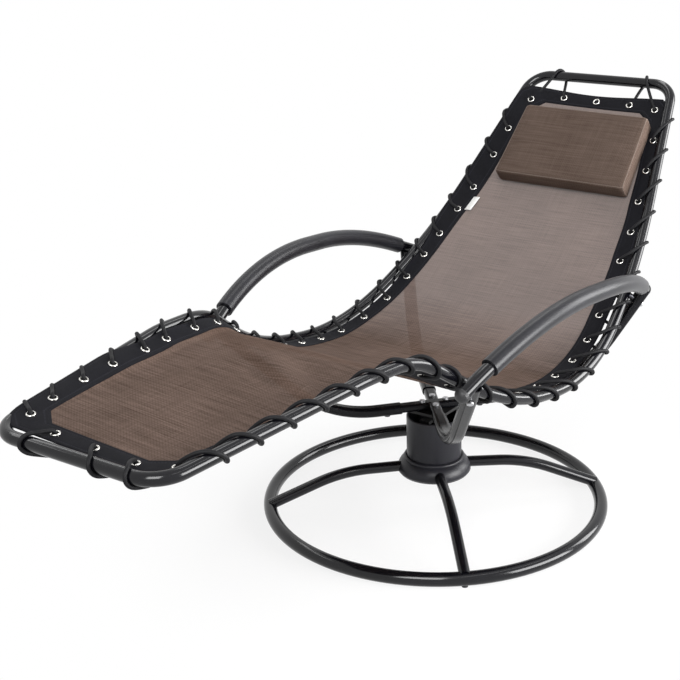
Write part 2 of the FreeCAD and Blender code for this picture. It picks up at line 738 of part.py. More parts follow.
def build_base():
    solid_ring = ring(RING_OD / 2)
    drains = []
    for azimuth in (0, 180):
        place = hub_point(azimuth, RING_RADIUS, 0)
        drains.append(rod(place, place + UP * RING_Z, DRAIN_HOLE_DIAMETER / 2))
    save("base_ring", solid_ring.cut(ring(RING_OD / 2 - RING_WALL)).cut(Part.makeCompound(drains)))
    collar = collar_profile()
    save("hub_collar", collar)
    foot = Vector(HUB_X, 0, COLLAR_BASE_Z)
    bore = rod(foot, Vector(HUB_X, 0, COLLAR_NECK_Z), CUP_RADIUS + CUP_RUNNING_GAP + 1)
    for number in range(4):
        piece = spoke(number).cut(Part.makeCompound([solid_ring, collar, bore]))
        save("base_spoke_%d" % (number + 1), max(piece.Solids, key=lambda solid: solid.Volume))
    glides = []
    for number in range(4):
        place = hub_point(SPOKE_AZIMUTH + 90 * number, RING_RADIUS, 0)
        pad = rod(place, place + UP * (GLIDE_HEIGHT + GLIDE_RISE), GLIDE_DIAMETER / 2)
        glides.append(pad.cut(solid_ring))
    save("floor_glides", Part.makeCompound(glides))
    post = rod(foot, Vector(HUB_X, 0, POST_TOP_Z), POST_RADIUS)
    flange = rod(foot - UP * POST_FLANGE, foot, POST_FLANGE_RADIUS)
    save("king_post", post.fuse(flange).removeSplitter())
    floor = COLLAR_BASE_Z + COLLAR_FLOOR
    inner = POST_RADIUS + BUSH_WALL
    save("thrust_washer", revolved([(inner, floor), (CUP_RADIUS - 6, floor),
                                    (CUP_RADIUS - 6, floor + THRUST_WASHER), (inner, floor + THRUST_WASHER)]))
    top = floor + THRUST_WASHER + SOCKET_HEIGHT + BUSH_RUNNING_CLEARANCE
    save("post_washer", revolved([(POST_RADIUS, top), (POST_RADIUS + 9, top),
                                  (POST_RADIUS + 9, top + POST_WASHER), (POST_RADIUS, top + POST_WASHER)]))
    seat = top + POST_WASHER
    corners = [Vector(HUB_X, 0, seat) + radial(60 * k) * (POST_NUT_WIDTH / math.sqrt(3)) for k in range(7)]
    nut = Part.Face(Part.makePolygon(corners)).extrude(UP * POST_NUT_HEIGHT)
    save("post_nut", nut.cut(rod(Vector(HUB_X, 0, seat), Vector(HUB_X, 0, POST_TOP_Z), POST_RADIUS)))


def build_swivel():
    floor = COLLAR_BASE_Z + COLLAR_FLOOR + THRUST_WASHER
    socket = POST_RADIUS + BUSH_WALL
    inner = CUP_RADIUS - CUP_WALL
    outside = [(socket, floor), (CUP_RADIUS, floor), (CUP_RADIUS, CUP_RIM_Z - 1), (CUP_RADIUS - 1, CUP_RIM_Z)]
    inside = [(inner, CUP_RIM_Z), (inner, floor + CUP_FLOOR), (socket + SOCKET_WALL, floor + CUP_FLOOR),
              (socket + SOCKET_WALL, floor + SOCKET_HEIGHT), (socket, floor + SOCKET_HEIGHT)]
    save("hub_cup", revolved(outside + inside))
    bore = POST_RADIUS + BUSH_RUNNING_CLEARANCE
    top = floor + SOCKET_HEIGHT
    for node, low, high in (("swivel_bush_lower", floor, floor + BUSH_LENGTH),
                            ("swivel_bush_upper", top - BUSH_LENGTH, top)):
        save(node, revolved([(bore, low), (socket, low), (socket, high), (bore, high)]))
    disc = rod(Vector(HUB_X, 0, BRIDGE_Z), Vector(HUB_X, 0, BRIDGE_Z + BRIDGE), inner - WELD_FIT)
    ears = []
    pins = []
    for side in (1, -1):
        near = side * EAR_GAP / 2
        right = Vector(HUB_X + EAR_WIDTH / 2, near, PIN_Z)
        left = Vector(HUB_X - EAR_WIDTH / 2, near, PIN_Z)
        drop = UP * (BRIDGE_Z + BRIDGE - PIN_Z)
        crest = Vector(HUB_X, near, PIN_Z + EAR_WIDTH / 2)
        edges = [Part.makeLine(left + drop, right + drop), Part.makeLine(right + drop, right)]
        edges += [Part.Arc(right, crest, left).toShape(), Part.makeLine(left, left + drop)]
        ears.append(Part.Face(Part.Wire(edges)).extrude(Vector(0, side * EAR_THICKNESS, 0)))
        outer = Vector(HUB_X, side * (EAR_GAP / 2 + EAR_THICKNESS), PIN_Z)
        pins.append(rod(outer, outer + Vector(0, side * 3, 0), PIN_RADIUS + 3))
    reach = EAR_GAP / 2 + EAR_THICKNESS
    pin = rod(Vector(HUB_X, -reach, PIN_Z), Vector(HUB_X, reach, PIN_Z), PIN_RADIUS)
    save("rock_bridge", disc.multiFuse(ears).removeSplitter().cut(pin))
    save("rock_pin", pin.multiFuse(pins).removeSplitter())
    stops = []
    for way in (1, -1):
        place = Vector(HUB_X + way * STOP_REACH, 0, BRIDGE_Z + BRIDGE)
        stops.append(rod(place, Vector(place.x, 0, STOP_TOP_Z), STOP_RADIUS))
    save("rock_stops", Part.makeCompound(stops))


def centred_box(x, y, low, high):
    return Part.makeBox(x, y, high - low, Vector(HUB_X - x / 2, -y / 2, low))


LEG_AZIMUTHS = {"leg_front_left": FRONT_LEG_AZIMUTH, "leg_front_right": -FRONT_LEG_AZIMUTH,
                "leg_rear_left": REAR_LEG_AZIMUTH, "leg_rear_right": -REAR_LEG_AZIMUTH}


def build_rocker():
    length = EAR_GAP - 2 * ROCKER_SIDE_GAP
    stub_low = CROSS_Z - LEG_HEIGHT / 2 + LEG_WALL + STUB_CLEARANCE
    bore = PIN_RADIUS + ROCKER_BUSH_WALL
    start = Vector(HUB_X, -length / 2, PIN_Z)
    end = Vector(HUB_X, length / 2, PIN_Z)
    plate_low = stub_low - ROCKER_PLATE
    wing_high = ROCKER_WING_Z + ROCKER_WING
    block = rod(start, end, ROCKER_BOSS_RADIUS).fuse(centred_box(ROCKER_NECK_WIDTH, length, PIN_Z, plate_low))
    block = block.fuse(centred_box(2 * ROCKER_WING_REACH, ROCKER_WING_WIDTH, ROCKER_WING_Z, wing_high))
    block = block.fuse(centred_box(ROCKER_PLATE_WIDTH, ROCKER_PLATE_WIDTH, plate_low, stub_low))
    holes = [upright_bolt(a, CROSS_BOLT_REACH, CROSS_Z + LEG_HEIGHT, plate_low, BOLT_CLEARANCE)
             for a in LEG_AZIMUTHS.values()]
    block = block.cut(rod(start, end, bore)).cut(Part.makeCompound(holes)).removeSplitter()
    save("rocker_block", block)
    bushes = []
    for way in (1, -1):
        tube = rod(Vector(HUB_X, way * 0.5, PIN_Z), Vector(HUB_X, way * length / 2, PIN_Z), bore)
        bushes.append(tube.cut(rod(start, end, PIN_RADIUS + PIN_CLEARANCE)))
    save("rock_bushes", Part.makeCompound(bushes))
    screw_tip = CROSS_Z + LEG_BOLT_DEPTH
    leg_holes = [upright_bolt(a, LEG_BOLT_REACH, CROSS_Z - LEG_HEIGHT, screw_tip, BOLT_CLEARANCE)
                 for a in LEG_AZIMUTHS.values()]
    stubs = [stub(a) for a in LEG_AZIMUTHS.values()]
    cross = stubs[0].multiFuse(stubs[1:]).cut(Part.makeCompound(holes + leg_holes))
    save("cross_fitting", cross)
    top = CROSS_Z + LEG_HEIGHT / 2 - LEG_WALL - STUB_CLEARANCE
    bolts = [upright_bolt(a, CROSS_BOLT_REACH, top, plate_low) for a in LEG_AZIMUTHS.values()]
    save("cross_bolts", Part.makeCompound(bolts))
    leg_low = CROSS_Z - LEG_HEIGHT / 2
    bolts = [upright_bolt(a, LEG_BOLT_REACH, leg_low, screw_tip) for a in LEG_AZIMUTHS.values()]
    save("leg_bolts", Part.makeCompound(bolts))
    return leg_holes


def build_seat():
    leg_holes = build_rocker()
    rail_holes = [rail_bolt(a, BOLT_CLEARANCE) for a in (FRONT_LEG_AZIMUTH, REAR_LEG_AZIMUTH)]
    rail_holes += [flipped(hole) for hole in rail_holes]
    holes = Part.makeCompound(leg_holes + rail_holes)
    legs = {}
    for node, azimuth in LEG_AZIMUTHS.items():
        piece = leg(abs(azimuth))
        legs[node] = piece if azimuth > 0 else flipped(piece)
        save(node, legs[node].cut(holes))
    front, rear = frame()
    save("front_frame", front)
    save("rear_frame", rear.cut(Part.makeCompound(rail_holes)))
    spacer = rail_spacer(REAR_LEG_AZIMUTH).cut(Part.makeCompound([rear, legs["leg_rear_left"]]))
    spacer = max(spacer.Solids, key=lambda solid: solid.Volume)
    save("rail_spacers", both_sides(spacer))
    bolts = [rail_bolt(a) for a in (FRONT_LEG_AZIMUTH, REAR_LEG_AZIMUTH)]
    save("rail_bolts", Part.makeCompound(bolts + [flipped(b) for b in bolts]))
    reach = JOINT_COURSE * (RAIL_SLEEVE_LENGTH / 2)
    bore = RAIL_RADIUS - RAIL_WALL
    sleeve = rod(FRAME_JOINT - reach, FRAME_JOINT + reach, bore - SLEEVE_CLEARANCE)
    sleeve = sleeve.cut(rod(FRAME_JOINT - reach, FRAME_JOINT + reach, bore - SLEEVE_CLEARANCE - RAIL_WALL))
    save("frame_sleeves", both_sides(sleeve.cut(Part.makeCompound(rail_holes))))
    arm = ARM.tube(ARM_OD, ARM_WALL)
    save("arm_left", arm)
    save("arm_right", flipped(arm))
    start = arm_distance(lambda point: point.x > GRIP_START_X)
    end = arm_distance(lambda point: point.x > GRIP_END_X)
    grip = ARM.between(start, end).sweep(GRIP_OD / 2, ARM_RADIUS + GRIP_GAP)
    save("grip_left", grip)
    save("grip_right", flipped(grip))
    front_end, front_course = ARM.at(0)
    rear_end, rear_course = ARM.at(ARM.length)
    caps = [end_cap(front_end, front_course * -1), end_cap(rear_end, rear_course)]
    save("arm_caps", Part.makeCompound(caps + [flipped(c) for c in caps]))
    panel, border = sling()
    save("sling_panel", panel)
    save("sling_border", border)
    left_leans = [LEFT_LEAN] * EYELET_COUNT
    for node, side, leans in (("lacing_left", 1, left_leans), ("lacing_right", -1, right_leans())):
        shape, edges = side_lacing(side, leans)
        save(node, shape)
        print(node, "gap between turns", round(cord_gaps(edges), 2))
    foot, head = end_lacing()
    save("lacing_foot", foot)
    save("lacing_head", head)
    save("head_pillow", pillow())


os.makedirs("parts", exist_ok=True)
build_base()
build_swivel()
build_seat()
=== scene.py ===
# %% [markdown]
# # A laced sling lounger
# The chair is a black bent tube frame that carries a brown mesh sling. A cord laces the sling's black hem to the tubes,
# foam sleeves pad the arms, and the whole seat rocks and turns on a round hub inside a ring of tube. The hard pieces
# come ready-made and measured, so this lesson adds what they lack: finishes, cloth, hem, eyelets, cord and pillow.

import json
import math

import bmesh
import bpy
import numpy as np
from mathutils import Matrix, Vector


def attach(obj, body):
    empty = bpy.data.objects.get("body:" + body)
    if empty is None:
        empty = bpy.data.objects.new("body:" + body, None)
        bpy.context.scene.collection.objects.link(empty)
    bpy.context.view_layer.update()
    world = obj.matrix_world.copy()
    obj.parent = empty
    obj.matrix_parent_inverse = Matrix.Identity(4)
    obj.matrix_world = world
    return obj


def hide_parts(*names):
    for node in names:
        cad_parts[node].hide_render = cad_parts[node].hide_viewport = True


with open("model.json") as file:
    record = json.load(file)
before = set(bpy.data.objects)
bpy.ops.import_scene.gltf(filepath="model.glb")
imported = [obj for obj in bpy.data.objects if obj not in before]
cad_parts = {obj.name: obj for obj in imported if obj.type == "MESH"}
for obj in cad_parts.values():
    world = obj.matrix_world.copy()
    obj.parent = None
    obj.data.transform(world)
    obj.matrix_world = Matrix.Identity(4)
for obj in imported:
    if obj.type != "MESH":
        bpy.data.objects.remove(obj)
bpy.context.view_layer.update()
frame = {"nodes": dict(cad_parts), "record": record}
nodes = frame["nodes"]

# %% [markdown]
# The camera stands at the chair's foot end, a little above the arms, with a short telephoto lens. Its place and turn
# were worked out from the ring, the rails and the arms, so the pieces land where the eye expects them. Yaw, pitch and
# roll could go in as angles, but three axes and a place in one matrix are easier to check. The pillow uses them too.

# %% Camera
CAMERA_PLACE = Vector((-2.0274, -1.3507, 1.2970))
CAMERA_YAW = math.radians(53.63)
CAMERA_PITCH = math.radians(20.18)
CAMERA_ROLL = math.radians(-1.67)
CAMERA_LENS = 71.84
CAMERA_SENSOR = 36.0


def new_piece(name, data):
    """A new object in the scene"""
    piece = bpy.data.objects.new(name, data)
    bpy.context.scene.collection.objects.link(piece)
    return piece


def placed(x_axis, y_axis, z_axis, place):
    """The matrix that turns a thing to three axes and moves it to a place"""
    matrix = Matrix((x_axis, y_axis, z_axis)).transposed().to_4x4()
    matrix.translation = place
    return matrix


forward = Vector((math.sin(CAMERA_YAW) * math.cos(CAMERA_PITCH),
                  math.cos(CAMERA_YAW) * math.cos(CAMERA_PITCH), -math.sin(CAMERA_PITCH)))
level_right = Vector((math.cos(CAMERA_YAW), -math.sin(CAMERA_YAW), 0.0))
level_up = level_right.cross(forward)
camera_right = level_right * math.cos(CAMERA_ROLL) + level_up * math.sin(CAMERA_ROLL)
camera_up = level_up * math.cos(CAMERA_ROLL) - level_right * math.sin(CAMERA_ROLL)

camera = new_piece("camera", bpy.data.cameras.new("camera"))
camera.data.sensor_width = CAMERA_SENSOR
camera.data.lens = CAMERA_LENS
camera.matrix_world = placed(camera_right, camera_up, -forward, CAMERA_PLACE)
bpy.context.scene.camera = camera
print("camera lens", CAMERA_LENS, "mm at", [round(c, 3) for c in CAMERA_PLACE])

# %% [markdown]
# A finish is a small graph of nodes. Three helpers keep the graphs short: one turns a hex colour, as a paint chart
# gives it, into the linear values that light adds up in, one adds a node with its settings and its links, and one
# starts a new material.

# %% Finish helpers


def paint(code):
    """A hex colour, by the sRGB curve, as linear red, green, blue, alpha"""
    values = [int(code[i:i + 2], 16) / 255 for i in (1, 3, 5)]
    return [v / 12.92 if v <= 0.04045 else ((v + 0.055) / 1.055) ** 2.4 for v in values] + [1.0]


def add(tree, kind, settings=None, **inputs):
    """A node with its settings; an input, by name or by number as in _0, is a value or another node's output"""
    node = tree.nodes.new(kind)
    for name, value in (settings or {}).items():
        setattr(node, name, value)
    for name, value in inputs.items():
        socket = node.inputs[int(name[1:]) if name[1:].isdigit() else name.replace("_", " ")]
        if isinstance(value, bpy.types.NodeSocket):
            tree.links.new(value, socket)
        else:
            socket.default_value = value
    return node


def finish(name):
    """A new material: itself, its node tree and its main shader"""
    material = bpy.data.materials.new(name)
    material.use_nodes = True
    return material, material.node_tree, material.node_tree.nodes["Principled BSDF"]


print("a mid grey is", round(paint("#808080")[0], 3), "in linear light")

# %% [markdown]
# Frame, arms and ring are steel tube with a black powder coat: dry paint dust that is baked until it flows. Here it
# flowed well, so the skin is a deep gloss black that draws every lamp as a long line, and a faint orange peel, about a
# millimetre and a half across, keeps that line from being ruler-sharp. Hub and legs have the same paint in a satin
# grade, whose fine texture spreads the lamps into broad gradients. On the drawn tube of the legs it lies smoother.

# %% Powder coats
COAT_CLOUD = 1 / 12
COAT_DRIFT = (0.3, 0.7)
PEEL_HEIGHT = 0.0002


def powder_coat(name, shades, roughness, ior, grain, relief):
    """Baked paint: drifts between two shades and two roughnesses, over a grain of the given size in metres"""
    material, tree, shader = finish(name)
    place = add(tree, "ShaderNodeTexCoord").outputs["Object"]
    fine = add(tree, "ShaderNodeTexNoise", Vector=place, Scale=1 / grain, Detail=3.0)
    cloudy = add(tree, "ShaderNodeTexNoise", Vector=place, Scale=1 / COAT_CLOUD, Detail=4.0)
    tint = add(tree, "ShaderNodeValToRGB", Fac=cloudy.outputs["Fac"])
    for stop, position, shade in zip(tint.color_ramp.elements, COAT_DRIFT, shades):
        stop.position = position
        stop.color = paint(shade)
    gloss = add(tree, "ShaderNodeMapRange", Value=cloudy.outputs["Fac"], To_Min=roughness[0], To_Max=roughness[1])
    skin = add(tree, "ShaderNodeBump", Strength=relief, Distance=PEEL_HEIGHT, Height=fine.outputs["Fac"])
    tree.links.new(tint.outputs["Color"], shader.inputs["Base Color"])
    tree.links.new(gloss.outputs["Result"], shader.inputs["Roughness"])
    tree.links.new(skin.outputs["Normal"], shader.inputs["Normal"])
    shader.inputs["IOR"].default_value = ior
    return material


gloss_coat = powder_coat("gloss_powder_coat", ("#07070a", "#0d0d12"), roughness=(0.11, 0.17), ior=1.41,
                         grain=0.0016, relief=0.015)
satin_coat = powder_coat("satin_powder_coat", ("#1a1a1f", "#242429"), roughness=(0.32, 0.42), ior=1.36,
                         grain=0.0022, relief=0.15)
leg_coat = powder_coat("satin_coat_on_drawn_tube", ("#09090c", "#101014"), roughness=(0.18, 0.26), ior=1.27,
                       grain=0.0018, relief=0.03)
print("made", gloss_coat.name, satin_coat.name, leg_coat.name)

# %% [markdown]
# The arm sleeves are closed-cell foam rubber, blown and skinned. The skin is a dull dark grey with a broad soft shine
# along its top, and cells of about two millimetres stipple it. A Voronoi pattern is the nearest thing to foam cells.

# %% Foam rubber
FOAM_CELL = 0.0018
FOAM_CLOUD = 1 / 22
FOAM_DRIFT = (0.3, 0.7)
FOAM_SHADES = ("#141418", "#1c1c21")
FOAM_RELIEF = 0.03
FOAM_PORE = 0.0002
FOAM_SURFACE = {"Roughness": 0.36, "Specular IOR Level": 0.3, "Sheen Weight": 0.05, "Sheen Roughness": 0.4}

foam, tree, shader = finish("foam_rubber")
place = add(tree, "ShaderNodeTexCoord").outputs["Object"]
cells = add(tree, "ShaderNodeTexVoronoi", Vector=place, Scale=1 / FOAM_CELL)
cloudy = add(tree, "ShaderNodeTexNoise", Vector=place, Scale=1 / FOAM_CLOUD, Detail=4.0)
tint = add(tree, "ShaderNodeValToRGB", Fac=cloudy.outputs["Fac"])
for stop, position, shade in zip(tint.color_ramp.elements, FOAM_DRIFT, FOAM_SHADES):
    stop.position = position
    stop.color = paint(shade)
pores = add(tree, "ShaderNodeBump", Strength=FOAM_RELIEF, Distance=FOAM_PORE, Height=cells.outputs["Distance"])
tree.links.new(tint.outputs["Color"], shader.inputs["Base Color"])
tree.links.new(pores.outputs["Normal"], shader.inputs["Normal"])
for socket, value in FOAM_SURFACE.items():
    shader.inputs[socket].default_value = value
print("made", foam.name)

# %% [markdown]
# Small hard pieces have one recipe with different numbers. Moulded polypropylene, on end caps and floor pads, is dull
# and slightly pebbled. Zinc and nickel plate, on bolts and eyelets, mirror the room softly. Machined steel, cast nylon
# and rubber are for what sits inside the hub. A near-black steel goes on the works inside the cup: painted shade, which
# keeps the cup's mouth dark.

# %% Small hard finishes
GRAIN_DRIFT = (0.35, 0.65)
GRAIN_RELIEF = 0.2


def grained(name, dark, light, grain, roughness, metallic=0.0, depth=0.0001, specular=0.5):
    """A finish whose colour drifts between two shades over a grain of the given size in metres"""
    material, tree, shader = finish(name)
    place = add(tree, "ShaderNodeTexCoord").outputs["Object"]
    fine = add(tree, "ShaderNodeTexNoise", Vector=place, Scale=1 / grain, Detail=3.0)
    tint = add(tree, "ShaderNodeValToRGB", Fac=fine.outputs["Fac"])
    for stop, position, shade in zip(tint.color_ramp.elements, GRAIN_DRIFT, (dark, light)):
        stop.position = position
        stop.color = paint(shade)
    bump = add(tree, "ShaderNodeBump", Strength=GRAIN_RELIEF, Distance=depth, Height=fine.outputs["Fac"])
    tree.links.new(tint.outputs["Color"], shader.inputs["Base Color"])
    tree.links.new(bump.outputs["Normal"], shader.inputs["Normal"])
    shader.inputs["Roughness"].default_value = roughness
    shader.inputs["Metallic"].default_value = metallic
    shader.inputs["Specular IOR Level"].default_value = specular
    return material


moulded_plastic = grained("moulded_polypropylene", "#19191b", "#202022", grain=0.0012, roughness=0.5)
black_zinc = grained("blackened_zinc", "#3a3a3d", "#4c4c50", grain=0.004, roughness=0.38, metallic=1.0)
bright_zinc = grained("bright_zinc", "#b9babd", "#d6d7da", grain=0.004, roughness=0.3, metallic=1.0)
nickel = grained("nickel_plate", "#c3c1bd", "#d4d2cd", grain=0.003, roughness=0.22, metallic=1.0)
machined_steel = grained("machined_steel", "#6f6f72", "#828285", grain=0.002, roughness=0.45, metallic=1.0)
cast_nylon = grained("cast_nylon", "#d9d5ca", "#e4e0d6", grain=0.002, roughness=0.45)
stop_rubber = grained("stop_rubber", "#1a1a1a", "#222222", grain=0.002, roughness=0.75)
# Painted shade: a near-black steel for the works inside the hub, so that the cup's mouth stays dark.
painted_shade_steel = grained("near_black_steel_painted_shade", "#070708", "#0c0c0d", grain=0.002, roughness=0.6)
print("made the small hard finishes")

# %% [markdown]
# Each ready-made piece names a slot, which says what it is made of, so most finishes go on by slot. A few pieces get
# their own: the bolts at the rails shine, the legs are smoother than the hub, and the works inside the cup are
# near-black, as painted shade that keeps the cup's mouth dark.

# %% Dress the hard pieces
SLOT_FINISH = {"black_steel": gloss_coat, "satin_steel": satin_coat, "plain_steel": machined_steel,
               "dark_bolts": black_zinc, "zinc_bolts": bright_zinc, "black_plastic": moulded_plastic,
               "nylon": cast_nylon, "black_rubber": stop_rubber, "foam": foam}
NODE_FINISH = {"rail_bolts": bright_zinc, "cross_fitting": leg_coat, "leg_front_left": leg_coat,
               "leg_front_right": leg_coat, "leg_rear_left": leg_coat, "leg_rear_right": leg_coat,
               # Painted shade: the works inside the cup take the near-black steel instead of their own paint and steel.
               "rock_bridge": painted_shade_steel, "rocker_block": painted_shade_steel, "rock_pin": painted_shade_steel,
               "post_nut": painted_shade_steel, "post_washer": painted_shade_steel}

dressed = 0
for part in frame["record"]["subparts"]:
    dress = NODE_FINISH.get(part["node"]) or SLOT_FINISH.get(part["material_slot"])
    if dress:
        materials = nodes[part["node"]].data.materials
        materials.clear()
        materials.append(dress)
        dressed += 1
print("dressed", dressed, "hard pieces")

# %% [markdown]
# Cloth, hem, eyelets and cord all follow the side rails, so the rail's centre line is needed as a function: straight
# runs between the bends, each bend an arc. From it come the direction along the rail, the direction in across the
# sling, and the direction up out of the cloth.

# %% The rail's line
RAIL_CORNERS = [Vector(c) for c in ((-0.8435, 0.166, 0.487), (-0.4265, 0.220, 0.509), (-0.2955, 0.228, 0.502),
                                    (-0.0845, 0.286, 0.356), (0.2245, 0.294, 0.303), (0.5155, 0.250, 0.449),
                                    (0.8475, 0.172, 0.768))]
RAIL_BENDS = (0.360, 0.197, 0.530, 0.460, 1.000)

rail_runs = []
here = RAIL_CORNERS[0]
for before, corner, after, bend in zip(RAIL_CORNERS, RAIL_CORNERS[1:], RAIL_CORNERS[2:], RAIL_BENDS):
    back = (before - corner).normalized()
    ahead = (after - corner).normalized()
    turn = math.pi - back.angle(ahead)
    reach = bend * math.tan(turn / 2)
    centre = corner + (back + ahead).normalized() * (bend / math.cos(turn / 2))
    rail_runs.append((here, corner + back * reach, None, 0.0, (corner + back * reach - here).length))
    rail_runs.append((corner + back * reach, corner + ahead * reach, centre, turn, bend * turn))
    here = corner + ahead * reach
rail_runs.append((here, RAIL_CORNERS[-1], None, 0.0, (RAIL_CORNERS[-1] - here).length))
RAIL_LENGTH = sum(run[4] for run in rail_runs)


def rail_at(distance):
    """Point and direction on the left rail at a distance from the foot bar"""
    for start, end, centre, turn, length in rail_runs:
        if distance <= length or end is rail_runs[-1][1]:
            share = distance / length
            if centre is None:
                return start.lerp(end, share), (end - start).normalized()
            a = start - centre
            b = end - centre
            spoke = (a * math.sin((1 - share) * turn) + b * math.sin(share * turn)) / math.sin(turn)
            course = b * math.cos(share * turn) - a * math.cos((1 - share) * turn)
            return centre + spoke, course.normalized()
        distance -= length


def rail_frame(distance, side):
    """Point, direction in across the sling, direction up, for the left (1) or right (-1) rail"""
    point, course = rail_at(distance)
    point = Vector((point.x, point.y * side, point.z))
    course = Vector((course.x, course.y * side, course.z))
    inward = Vector((0.0, -side, 0.0))
    inward = (inward - course * inward.dot(course)).normalized()
    up = course.cross(inward) * side
    return point, inward, up if up.z > 0 else -up


print("rail length", round(RAIL_LENGTH, 4), "m")

# %% [markdown]
# The hem's outer and inner edge run beside the tubes. Their inset from the tube's middle was read off at stations along
# both rails, because a laced sling hangs a little askew. Between stations the inset eases from one value to the next,
# which keeps the edges smooth without a curve object.

# %% Where the hem runs
LEFT_OUTER = ((0.0, 0.004), (0.06, -0.006), (0.26, -0.006), (0.38, 0.012), (0.50, 0.017), (0.90, 0.020),
              (1.24, 0.019), (1.36, 0.013), (1.50, -0.003), (1.82, -0.004), (1.91, 0.006))
LEFT_INNER = ((0.0, 0.050), (0.12, 0.047), (0.44, 0.048), (0.62, 0.044), (0.76, 0.052), (0.90, 0.065),
              (1.02, 0.061), (1.14, 0.056), (1.32, 0.055), (1.42, 0.052), (1.60, 0.057), (1.74, 0.050),
              (1.91, 0.049))
RIGHT_OUTER = ((0.0, 0.016), (0.90, 0.020), (1.08, 0.020), (1.26, 0.0175), (1.46, 0.009), (1.58, 0.005),
               (1.80, 0.003), (1.91, 0.006))
RIGHT_INNER = ((0.0, 0.050), (0.24, 0.054), (0.80, 0.058), (1.02, 0.059), (1.26, 0.057), (1.44, 0.0515),
               (1.56, 0.0455), (1.68, 0.041), (1.80, 0.039), (1.91, 0.039))
HEM_OUTER = 0.016
HEM_INNER = 0.058
SEAT_PLACE = 0.95


def eased(stations, distance):
    """A value along the rail, eased from one (distance, value) station to the next"""
    for (low, first), (high, last) in zip(stations, stations[1:]):
        if distance <= high:
            share = min(max((distance - low) / (high - low), 0.0), 1.0)
            return first + (last - first) * share * share * (3 - 2 * share)
    return stations[-1][1]


def half_width(distance):
    """Half the distance between the rails"""
    return rail_at(distance)[0].y


def edge(distance, side, share):
    """Distance across the chair of a line along the left (1) or right (-1) hem, from outer (0) to inner edge (1)"""
    outer = eased(LEFT_OUTER if side > 0 else RIGHT_OUTER, distance)
    inner = eased(LEFT_INNER if side > 0 else RIGHT_INNER, distance)
    return side * (half_width(distance) - outer - (inner - outer) * share)


panel_width = 2 * (half_width(SEAT_PLACE) - HEM_INNER)
print("panel at the seat", round(panel_width, 3), "m wide")

# %% [markdown]
# The sling is stretched, but not flat. It pulls straight between foot and seat, so over the knee it lies lower than
# the tubes, and soft folds slant across it there. Towards the foot and up the back its left hem rides up onto the left
# tube, and along the foot its right hem hangs below the right tube. One function gives a point of the cloth from its
# distance along the rail and its distance across the chair, so panel, hem and eyelets stay together.

# %% The sling's surface
KNEE_DROOP = 0.022
DROOP_END = 0.900
LEFT_RIDE = ((0.0, 0.007), (0.08, 0.0125), (0.27, 0.0125), (0.40, 0.003), (0.52, 0.0), (1.22, 0.0), (1.38, 0.005),
             (1.50, 0.0125), (1.84, 0.0125), (1.91, 0.007))
RIGHT_HANG = ((0.0, -0.004), (0.12, -0.016), (0.40, -0.021), (0.52, -0.014), (0.66, -0.004), (0.80, 0.0), (1.91, 0.0))
FOLD_MIDDLE = (0.425, -0.060)
FOLD_TURN = math.radians(62)
FOLD_PITCH = 0.098
FOLD_DEPTH = 0.0085
FOLD_SPREAD = (0.066, 0.120)


def knee_droop(distance):
    """How far the cloth lies below the rails over the knee"""
    share = distance / DROOP_END
    return KNEE_DROOP * math.sin(math.pi * share) ** 2 if 0.0 < share < 1.0 else 0.0


def knee_fold(distance, across):
    """Soft slanting folds where the cloth turns down into the seat"""
    a = distance - FOLD_MIDDLE[0]
    b = across - FOLD_MIDDLE[1]
    u = a * math.sin(FOLD_TURN) - b * math.cos(FOLD_TURN)
    v = a * math.cos(FOLD_TURN) + b * math.sin(FOLD_TURN)
    fade = math.exp(-(u / FOLD_SPREAD[0]) ** 2 - (v / FOLD_SPREAD[1]) ** 2)
    return FOLD_DEPTH * math.cos(2 * math.pi * u / FOLD_PITCH) * fade


def on_sling(distance, across, lift=0.0):
    """A point of the cloth; lift raises it off the surface"""
    point, course = rail_at(distance)
    up = Vector((-course.z, 0.0, course.x)).normalized()
    inset = point.y - abs(across)
    share = min(max((inset - HEM_OUTER) / (HEM_INNER - HEM_OUTER), 0.0), 1.0)
    reach = across / point.y
    left = eased(LEFT_RIDE, distance)
    right = eased(RIGHT_HANG, distance)
    askew = (left + right) / 2 * reach * reach + (left - right) / 2 * reach
    height = lift - knee_droop(distance) * share + askew + knee_fold(distance, across)
    return Vector((point.x, across, point.z)) + up * height


print("the middle of the seat is at", [round(c, 3) for c in on_sling(SEAT_PLACE, 0.0)])

# %% [markdown]
# The panel is mesh cloth: polyester yarn coated in vinyl, woven open so that water runs through and a little of what
# lies behind shows. The yarn is spun unevenly, like linen, so thick and thin stretches draw fine streaks both ways,
# most of all across the chair. The real yarns are about 1.3 mm apart. That is finer than a pixel here, so the weave is
# drawn more than twice as coarse to keep a hint of it in the picture. Two crossed sine waves make the weave, and noise
# that is drawn out along each yarn makes the streaks. The cloth is matt, so it keeps its brown in grazing light.

# %% Coated mesh cloth
YARN_SPACING = 0.0030
SLUB_WIDTH = 0.0030
SLUB_LENGTH = 0.085
PATCH_SIZE = 0.14
PATCH_SHARE = 0.4
PATCH_BASE = 0.3
ACROSS_SHARE = 1.0
ALONG_SHARE = 0.45
WEAVE_SHARE = 0.10
WEAVE_RISE = 0.35
TINT_RANGE = (0.92, 1.53)
GAP_RANGE = (0.25, 0.6)
WEAVE_RELIEF = 0.35
WEAVE_HEIGHT = 0.0005
CLOTH_SURFACE = {"Roughness": 0.8, "Specular IOR Level": 0.04}


